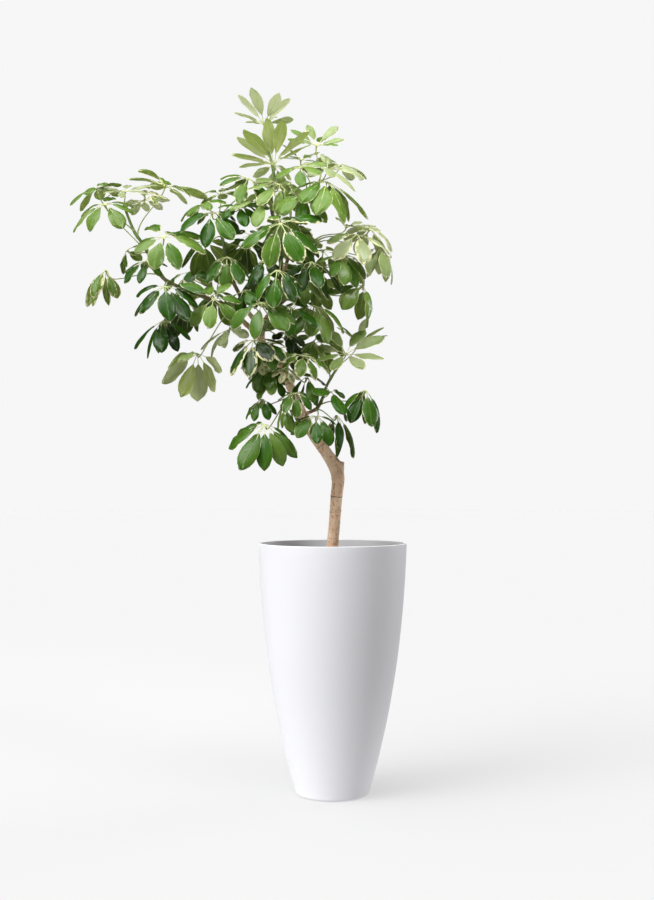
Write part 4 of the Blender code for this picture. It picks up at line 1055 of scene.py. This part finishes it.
def trunkSkin():
    # The trunk, its stub and its limbs as one skin with the lumps and the grain of bark
    lines = []
    for number, (route, radii) in enumerate(woodLines()):
        if number != 1:     # the sawn stub stays straight
            thick = smoothRoute([Vector((radius, 0, 0)) for radius in radii], bark["steps"])
            route, radii = smoothRoute(route, bark["steps"]), [row.x for row in thick]
        lines.append((route, radii))
    trunk = bevelledLines("woodyTrunk", lines, bark["rounding"])
    remesh = trunk.modifiers.new("oneSkin", "REMESH")
    remesh.mode = "VOXEL"
    remesh.voxel_size = bark["voxel"]
    applyModifiers(trunk)
    smooth = trunk.modifiers.new("soften", "SMOOTH")
    smooth.factor, smooth.iterations = bark["soften"]
    cloudDisplace(trunk, "barkLumps", *bark["lumps"])
    cloudDisplace(trunk, "barkGrain", *bark["grain"])
    applyModifiers(trunk)
    return trunk, *lines[0]


def nearestOf(points, route):
    # For each point, the number of the nearest point of the route
    middle = np.array([tuple(point) for point in route])
    nearest = np.empty(len(points), int)
    for start in range(0, len(points), 4000):
        gaps = np.linalg.norm(points[start:start + 4000, None, :] - middle[None], axis=2)
        nearest[start:start + 4000] = gaps.argmin(axis=1)
    return nearest


def hills(offset, width):
    return np.exp(-(offset / width) ** 2)


def makeTrunk():
    trunk, route, radii = trunkSkin()
    spans = [0.0]
    for start, end in zip(route, route[1:]):
        spans.append(spans[-1] + (end - start).length)
    points = meshPoints(trunk.data)
    nearest = nearestOf(points, route)
    fromMiddle = points - np.array([tuple(point) for point in route])[nearest]
    ways = np.array([tuple(way) for way in directions(route)])[nearest]
    ahead = (fromMiddle * ways).sum(axis=1)
    along = np.array(spans)[nearest] + ahead
    outward = fromMiddle - ways * ahead[:, None]
    distance = np.linalg.norm(outward, axis=1)
    onTrunk = distance < np.array(radii)[nearest] * bark["girth"]
    wobble = np.array([noise.noise(Vector(point) * bark["wobbleScale"]) for point in points]) * bark["wobble"]
    scars, lift = np.zeros(len(points)), np.zeros(len(points))
    for place, share in bark["scars"]:
        offset = along + wobble * (bark["steady"] if share > 1 else 1) - place * cm
        scars += share * hills(offset, bark["scarWidth"])
        lift += share * bark["ridge"] * hills(offset - bark["ridgeOff"], bark["ridgeWidth"])
    lift -= bark["scarDepth"] * np.minimum(scars, bark["deepest"])
    for x, y, z, reach, rise in bark["knots"]:
        gap = np.linalg.norm(points - np.array((x, y, z)) * cm, axis=1)
        lift += rise * mm * hills(gap, reach * cm)
    points += outward / np.maximum(distance, 1e-6)[:, None] * (lift * onTrunk)[:, None]
    setPoints(trunk.data, points)

    # the stub's sawn face, the broken rings of the scars and the young bark higher up
    stubFoot, stubTop = inMetres(sawnStub)
    stubWay = np.array((stubTop - stubFoot).normalized())
    fromTop = points - np.array(stubTop)
    level = fromTop @ stubWay
    side = np.linalg.norm(fromTop - level[:, None] * stubWay, axis=1)
    rimDepth, rimShare = bark["sawnRim"]
    cut = (level > -rimDepth) & (side < sawnStub[1][3] * mm * rimShare)
    breakScale, breakLevel = bark["breaks"]
    away = Vector((9, 0, 0))
    broken = np.array([noise.noise(Vector(point) * breakScale + away) < breakLevel for point in points])
    strength = np.where(broken & (scars < 1.1), bark["faint"], 1)
    highUp = np.clip((points[:, 2] - bark["youngFrom"]) / bark["youngOver"], 0, 1)
    setAttribute(trunk.data, "scar", np.minimum(scars, 1) * onTrunk * strength)
    setAttribute(trunk.data, "cut", cut.astype(float))
    setAttribute(trunk.data, "young", np.clip((highUp + ~onTrunk) * bark["youngShare"], 0, 1))
    trunk.data.materials.clear()
    trunk.data.materials.append(barkMaterial())
    pick(trunk)
    bpy.ops.object.shade_smooth()
    mount(trunk, "bark", "trunk")


makeTrunk()


# Leaves

leafLook = {
    "length": 0.1, "halfWidth": 0.021, "columns": 4, "thickness": 0.75 * mm,
    "lifts": {0: -1.3 * mm, 1: 1.6 * mm, 2: -2.9 * mm},     # groove, crown and margin of the blade
    "ribSides": 6, "ribSink": ((0.014, 0.024, 0.034), (0, -1.1 * mm, -1.95 * mm)),
    "seed": 21, "roll": 30, "sickle": 0.08, "fold": (0.6, 1.5),     # degrees, share of the length, and depth
    "wave": 2.8 * mm, "waveDraw": (0.2, 1), "waves": (1.6, 2.8), "otherSide": (0, 3),   # of the margins
    "taper": (-0.3, 0.3), "taperFrom": 0.6,     # how much wider a leaflet is at its tip than at its foot
    "toneDraw": 0.16, "leafletToneDraw": 0.13, "youngPower": 1.9,
    "creamDraw": (0.05, 0.6, 4), "leafletCreamDraw": (0.7, 1.3),    # least, most and how seldom it is wide
    "creamTone": 0.8,           # tone of the leaves whose share of cream is given
    "shine": 0.36,
    "through": 0.36,            # share of the light that passes through a blade
    "smoothUnder": 55,
}
stemLook = {
    "steps": 6, "stemRounding": 4, "stalkRounding": 2,
    "swelling": 0.16, "footShare": 0.97, "tipShare": 0.6,       # shares of the stem's radius
    "swellingReach": 0.8,       # steps of its line
    "stalkRadii": (1.9, 2.1, 1.75, 1.55, 1.5, 1.45, 1.45, 1.5, 1.55, 1.7, 2.2, 2.6),    # mm, from the hub
    "stalkStart": 0.5 * mm, "stalkScale": (0.8, 0.02),      # and more for each leaflet
    "agePower": 1.4, "tipAge": 0.92, "stalkAge": (0.8, 0.15), "hubAge": 0.95,      # 0 is woody, 1 fresh green
    "hubShare": 0.9, "hubFlat": 0.55, "hubSunk": 1.2 * mm, "smoothUnder": 50,
}
ribOutline = (      # radius in mm and share along the leaflet of the petiolule and the midrib under the blade
    (1.25, -0.03), (0.85, 0.03), (0.8, 0.12), (0.95, 0.2), (0.75, 0.32), (0.55, 0.55), (0.28, 0.8),
)
# Leaf ramps from dark to pale: the darkest stops are also painted shade for leaves deep in the crown, and the
# palest under stop is also painted light shining through the top leaves.
greens = {
    "upper": ((0.003, 0.018, 0.001), (0.030, 0.130, 0.001), (0.175, 0.290, 0.045), (0.42, 0.47, 0.26)),
    "under": ((0.010, 0.036, 0.002), (0.15, 0.25, 0.018), (0.51, 0.60, 0.17), (0.86, 0.89, 0.61)),
    "cream": (0.80, 0.77, 0.46), "through": (0.5, 0.64, 0.2),
    "rib": (0.52, 0.57, 0.22), "ribPale": (0.66, 0.66, 0.36), "ribDark": (0.3, 0.42, 0.14),
    "stalk": (0.34, 0.40, 0.12), "stem": (0.085, 0.135, 0.02), "stemPale": (0.13, 0.215, 0.05),
    "woody": (0.19, 0.14, 0.06), "streak": (0.22, 0.19, 0.1),
}


def leafMaterial(name, shades, gloss, veinLift):
    material, tree, shader = startMaterial(name, shades[1])
    leafPlace = addNode(tree, "ShaderNodeUVMap", uv_map="UVMap").outputs[0]
    parts = addNode(tree, "ShaderNodeSeparateXYZ", {0: leafPlace})
    fromLeft, along = parts.outputs[0], parts.outputs[1]
    across = times(tree, maths(tree, "ABSOLUTE", maths(tree, "SUBTRACT", fromLeft, 0.5)), 2.0)
    tone, cream, chance, edge = (readAttribute(tree, each) for each in ("tone", "cream", "chance", "edge"))
    own = addNode(tree, "ShaderNodeCombineXYZ", {
        0: maths(tree, "ADD", fromLeft, times(tree, chance, 37.0)),
        1: maths(tree, "ADD", along, times(tree, chance, 71.0)), 2: chance}).outputs[0]
    cloud = grain(tree, own, 2.6, 3, 0.6)
    blotch = grain(tree, own, 3.4, 3, 0.65, (1.6, 0.8, 1))
    tatter = grain(tree, own, 7.0, 3, 0.6)

    shade = maths(tree, "ADD", tone, spread(tree, cloud, 0.25, 0.75, -0.07, 0.07))
    colour = ramp(tree, shade, list(zip((0, 0.33, 0.66, 1), shades)))
    # grey green patches between the dark middle and the cream margin
    patch = times(tree, spread(tree, blotch, 0.52, 0.6), spread(tree, cream, 0.02, 0.3, 0.0, 0.5))
    colour = mixColours(tree, patch, colour, mixColours(tree, 0.5, colour, (*shades[3], 1)))
    # side veins run forward from the midrib
    slant = maths(tree, "SUBTRACT", along, times(tree, across, 0.16))
    comb = maths(tree, "ABSOLUTE", maths(tree, "SINE", times(tree, slant, 34.0)))
    vein = times(tree, spread(tree, comb, 0.16, 0.0), spread(tree, across, 1.0, 0.55))
    midrib = spread(tree, across, 0.07, 0.015)
    lines = maths(tree, "MAXIMUM", times(tree, vein, 0.05), times(tree, midrib, 0.16))
    colour = mixColours(tree, lines, colour, (*greens["rib"], 1))
    # cream runs in from the margin, further where the blade is tattered with it
    width = times(tree, cream, spread(tree, tatter, 0.34, 0.72, 0.1, 1.8))
    margin = spread(tree, maths(tree, "SUBTRACT", width, edge), -0.03, 0.05)
    colour = mixColours(tree, margin, colour, (*greens["cream"], 1))
    fine = bump(tree, grain(tree, own, 30, 2, 0.5), 0.12, 0.4 * mm)
    height = times(tree, maths(tree, "MAXIMUM", vein, midrib), veinLift)
    wire(tree, shader, colour, spread(tree, tatter, 0.3, 0.7, gloss - 0.05, gloss + 0.07),
         bump(tree, height, 0.35, 0.5 * mm, fine), leafLook["shine"])
    through = addNode(tree, "ShaderNodeBsdfTranslucent")
    tree.links.new(mixColours(tree, 0.35, colour, (*greens["through"], 1)), through.inputs["Color"])
    both = addNode(tree, "ShaderNodeMixShader", {0: leafLook["through"]})
    tree.links.new(shader.outputs[0], both.inputs[1])
    tree.links.new(through.outputs[0], both.inputs[2])
    tree.links.new(both.outputs[0], tree.nodes["Material Output"].inputs["Surface"])
    return material


def ribMaterial():
    material, tree, shader = startMaterial("petiolules", greens["rib"])
    place = objectPlace(tree)
    cloud = grain(tree, place, 60, 2)
    colour = mixColours(tree, spread(tree, cloud, 0.35, 0.65), (*greens["rib"], 1), (*greens["ribPale"], 1))
    # petiolules of low-tone leaves turn darker: partly age, partly painted shade carried by the tone
    dark = spread(tree, readAttribute(tree, "tone"), 0.1, 0.9, 0.35, 0.0)
    colour = mixColours(tree, dark, colour, (*greens["ribDark"], 1))
    wire(tree, shader, colour, spread(tree, cloud, 0.3, 0.7, 0.42, 0.55),
         bump(tree, grain(tree, place, 700, 2), 0.15, 0.3 * mm))
    return material


def stemMaterial():
    material, tree, shader = startMaterial("greenStems", greens["stem"])
    place = objectPlace(tree)
    cloud = grain(tree, place, 45, 3)
    streak = grain(tree, place, 380, 2, 0.5, (1, 1, 0.25))
    shade = maths(tree, "ADD", readAttribute(tree, "age"), spread(tree, cloud, 0.3, 0.7, -0.08, 0.08))
    stops = {0.0: "woody", 0.3: "stem", 0.62: "stemPale", 0.95: "stalk"}
    colour = ramp(tree, shade, [(stop, greens[green]) for stop, green in stops.items()])
    colour = paintOver(tree, colour, spread(tree, streak, 0.55, 0.66), 0.4, greens["streak"])
    wire(tree, shader, colour, spread(tree, cloud, 0.3, 0.7, 0.45, 0.6), bump(tree, streak, 0.35, 0.5 * mm))
    return material


def selectVerts(bm, verts):
    for vert in bm.verts:
        vert.select = False
    for vert in verts:
        vert.select = True
    bm.select_flush(False)


def distanceToPiece(point, start, end):
    (px, py), (ax, ay), (bx, by) = point, start, end
    length2 = (bx - ax) ** 2 + (by - ay) ** 2
    t = max(0, min(1, ((px - ax) * (bx - ax) + (py - ay) * (by - ay)) / length2)) if length2 else 0
    return math.hypot(px - ax - t * (bx - ax), py - ay - t * (by - ay))


def makeBlade():
    # A grid drawn to the leaflet's outline and folded along its midrib, with a flipped copy for its underside
    look = leafLook
    bladeStart = look["length"] * leafPlan["petiolule"]
    bladeLength = look["length"] - bladeStart
    outline = [(half * look["halfWidth"], bladeStart + share * bladeLength) for share, half in bladeOutline]
    last = len(outline) - 1
    deselectAll()
    bpy.ops.mesh.primitive_grid_add(x_subdivisions=look["columns"], y_subdivisions=last, size=1)
    blade = bpy.context.object
    bpy.ops.object.mode_set(mode="EDIT")
    bm = bmesh.from_edit_mesh(blade.data)
    rows = {}
    columns = {}
    for vert in bm.verts:
        rows.setdefault(round((vert.co.y + 0.5) * last), []).append(vert)
        columns.setdefault(round(vert.co.x * look["columns"]), []).append(vert)
    for row, (half, along) in enumerate(outline):
        selectVerts(bm, rows[row])
        height = rows[row][0].co.y
        bpy.ops.transform.resize(value=(2 * half, 1, 1), center_override=(0, height, 0))
        bpy.ops.transform.translate(value=(0, along - height, 0))
    for column, verts in columns.items():
        selectVerts(bm, [vert for vert in verts if vert not in rows[0] and vert not in rows[last]])
        bpy.ops.transform.translate(value=(0, 0, look["lifts"][abs(column)]))
    bpy.ops.mesh.select_all(action="SELECT")
    bpy.ops.mesh.duplicate()
    bpy.ops.mesh.flip_normals()
    under = [vert for vert in bm.verts if vert.select and not vert.is_boundary]
    for face in bm.faces:
        face.material_index = 1 if face.select else 0
    selectVerts(bm, under)
    bpy.ops.transform.translate(value=(0, 0, -look["thickness"]))
    bpy.ops.mesh.select_all(action="SELECT")
    bpy.ops.mesh.remove_doubles(threshold=0.01 * mm)
    bpy.ops.object.mode_set(mode="OBJECT")
    edges = [min(distanceToPiece((abs(x), y), first, second) for first, second in zip(outline, outline[1:]))
             / look["halfWidth"] for x, y, _ in meshPoints(blade.data)]
    setAttribute(blade.data, "edge", edges)
    setAttribute(blade.data, "rib", 0)
    return blade


def makeRib():
    look = leafLook
    outline = [(radius * mm, share * look["length"]) for radius, share in ribOutline]
    rib = raiseRings("midrib", outline, look["ribSides"])
    rib.rotation_euler = (-math.pi / 2, 0, 0)
    bpy.ops.object.transform_apply(rotation=True)
    corners = meshPoints(rib.data)
    corners[:, 2] += np.interp(corners[:, 1], *look["ribSink"])
    setPoints(rib.data, corners)
    setAttribute(rib.data, "edge", 1)
    setAttribute(rib.data, "rib", 1)
    return rib


def makeLeafletMaster():
    upper = leafMaterial("leafUpper", greens["upper"], 0.3, -1.0)
    under = leafMaterial("leafUnder", greens["under"], 0.58, 1.0)
    ribbed = ribMaterial()
    blade, rib = makeBlade(), makeRib()
    for piece in (blade, rib):
        for material in (upper, under, ribbed):
            piece.data.materials.append(material)
    for polygon in rib.data.polygons:
        polygon.material_index = 2
    leaflet = joinAll([blade, rib], "leafletMaster")
    for name in ("tone", "cream", "chance"):
        setAttribute(leaflet.data, name, 0)
    return leaflet


def bentLeaflet(master, flat, onRib, leaflet, draw, tone, cream):
    # A copy of the leaflet, scaled, waved, rolled and laid along its arc
    look = leafLook
    scale = leaflet["length"] / look["length"]
    wide = leaflet["width"] / 2 / look["halfWidth"]
    share = flat[:, 1] / look["length"]
    taper = 1 + draw.uniform(*look["taper"]) * (share - look["taperFrom"])
    x = flat[:, 0] * np.where(onRib, math.sqrt(scale), wide * taper)
    outer = np.clip(np.abs(flat[:, 0]) / look["halfWidth"], 0, 1) * ~onRib
    z = flat[:, 2] * np.where(onRib, 1, wide * draw.uniform(*look["fold"]))
    waves = draw.uniform(*look["waves"])
    waveHeight = draw.uniform(*look["waveDraw"]) * look["wave"] * outer ** 2
    waveTurn = 2 * math.pi * (waves * share + draw.random())
    z = z + waveHeight * np.sin(waveTurn + np.where(flat[:, 0] > 0, draw.uniform(*look["otherSide"]), 0))
    bladeShare = np.clip((share - leafPlan["petiolule"]) / (1 - leafPlan["petiolule"]), 0, 1)
    roll = math.radians(draw.uniform(-look["roll"], look["roll"])) * bladeShare
    sickle = draw.uniform(-1, 1) * look["sickle"] * leaflet["length"] * bladeShare ** 2

    out, down, bend = leafletArc(leaflet, share)
    outward, normal, across = (np.array(leaflet[key]) for key in ("outward", "normal", "across"))
    upward = np.sin(bend)[:, None] * outward + np.cos(bend)[:, None] * normal
    wideWay = np.cos(roll)[:, None] * across + np.sin(roll)[:, None] * upward
    highWay = np.cos(roll)[:, None] * upward - np.sin(roll)[:, None] * across
    copy = ownCopy(master)
    setPoints(copy.data, np.array(leaflet["hub"]) + out[:, None] * outward - down[:, None] * normal
              + x[:, None] * wideWay + z[:, None] * highWay + sickle[:, None] * across)
    setAttribute(copy.data, "tone", tone)
    setAttribute(copy.data, "cream", cream)
    setAttribute(copy.data, "chance", draw.random())
    return copy


def stemAge(mesh, route):
    along = nearestOf(meshPoints(mesh), route) / (len(route) - 1)
    return along ** stemLook["agePower"] * stemLook["tipAge"]


def makeStems(name, leaves, hubMaster, finish):
    # The green stem, swollen where a stalk leaves it, with its stalks and hubs
    look = stemLook
    shoot = shoots[name]
    route = stemRoute(shoot, look["steps"])
    foot, tip = (radius * mm for radius in shoot["radii"])
    radii = evenly(foot, tip, len(route))
    for leaf in leaves:
        node = leaf["at"] * (len(route) - 1)
        radii = [radius * (1 + look["swelling"] * math.exp(-((index - node) / look["swellingReach"]) ** 2))
                 for index, radius in enumerate(radii)]
    away = (route[1] - route[0]).normalized()
    route.insert(0, route[0] - away * woodPlan["overlap"])
    radii.insert(0, radii[0] * look["footShare"])
    radii[-1] *= look["tipShare"]
    stems = [bevelledLines("stem", [(route, radii)], look["stemRounding"])]
    setAttribute(stems[0].data, "age", stemAge(stems[0].data, route))
    stalks = []
    least, more = look["stalkScale"]
    for leaf in leaves:
        line = [leaf["hub"] - leaf["normal"] * look["stalkStart"], *leaf["line"]]
        scale = least + more * len(leaf["leaflets"])
        stalks.append((line, [radius * mm * scale for radius in look["stalkRadii"]]))
    stems.append(bevelledLines("stalks", stalks, look["stalkRounding"]))
    # the stalks are paler on shoots with a paler tip tone, which is partly painted light
    start, share = look["stalkAge"]
    setAttribute(stems[1].data, "age", start + share * shoot["tones"][1])
    for leaf in leaves:
        hub = ownCopy(hubMaster)
        hub.data.transform(Vector((0, 0, 1)).rotation_difference(leaf["normal"]).to_matrix().to_4x4())
        hub.data.transform(hub.matrix_world.Translation(leaf["hub"] - leaf["normal"] * look["hubSunk"]))
        setAttribute(hub.data, "age", look["hubAge"])
        stems.append(hub)
    for stem in stems:
        stem.data.materials.clear()
        stem.data.materials.append(finish)
    green = joinAll(stems, "stems_" + name)
    bpy.ops.object.shade_smooth_by_angle(angle=math.radians(look["smoothUnder"]))
    mount(green, "foliage", "leafy_shoot_" + name)


def makeLeaves(name, leaves, master):
    look = leafLook
    shoot = shoots[name]
    draw = random.Random(f"{look['seed']} {name}")
    flat = meshPoints(master.data)
    ribShare = np.empty(len(flat), np.float32)
    master.data.attributes["rib"].data.foreach_get("value", ribShare)
    footTone, tipTone = shoot["tones"]
    least, most, power = look["creamDraw"]
    copies = []
    for leaf in leaves:
        # The tone runs from the stem's foot to its tip; like the shoot's tones it is partly age and partly
        # painted light and shade.
        tone = footTone + (tipTone - footTone) * leaf["at"] ** look["youngPower"]
        tone += draw.uniform(-look["toneDraw"], look["toneDraw"])
        cream = least * draw.random() + shoot["cream"] * most * draw.random() ** power
        if len(leaf["row"]) > 9:
            cream, tone = leaf["row"][9], look["creamTone"]
        for leaflet in leaf["leaflets"]:
            ownTone = tone + draw.uniform(-look["leafletToneDraw"], look["leafletToneDraw"])
            ownCream = cream * draw.uniform(*look["leafletCreamDraw"])
            copies.append(bentLeaflet(master, flat, ribShare > 0.5, leaflet, draw, ownTone, ownCream))
    blades = joinAll(copies, "leaves_" + name)
    bpy.ops.object.shade_smooth_by_angle(angle=math.radians(look["smoothUnder"]))
    mount(blades, "foliage", "leafy_shoot_" + name)


def makeHubMaster():
    deselectAll()
    bpy.ops.mesh.primitive_ico_sphere_add(subdivisions=2, radius=leafPlan["hubRadius"] * stemLook["hubShare"])
    hub = bpy.context.object
    bpy.ops.transform.resize(value=(1, 1, stemLook["hubFlat"]))
    bpy.ops.object.transform_apply(scale=True)
    return hub


def makeFoliage():
    master, hubMaster, finish = makeLeafletMaster(), makeHubMaster(), stemMaterial()
    for name in shoots:
        leaves = [leaf for leaf in crown if leaf["shoot"] == name]
        makeStems(name, leaves, hubMaster, finish)
        makeLeaves(name, leaves, master)
    bpy.data.objects.remove(master)
    bpy.data.objects.remove(hubMaster)


makeFoliage()
print("leaves are made")
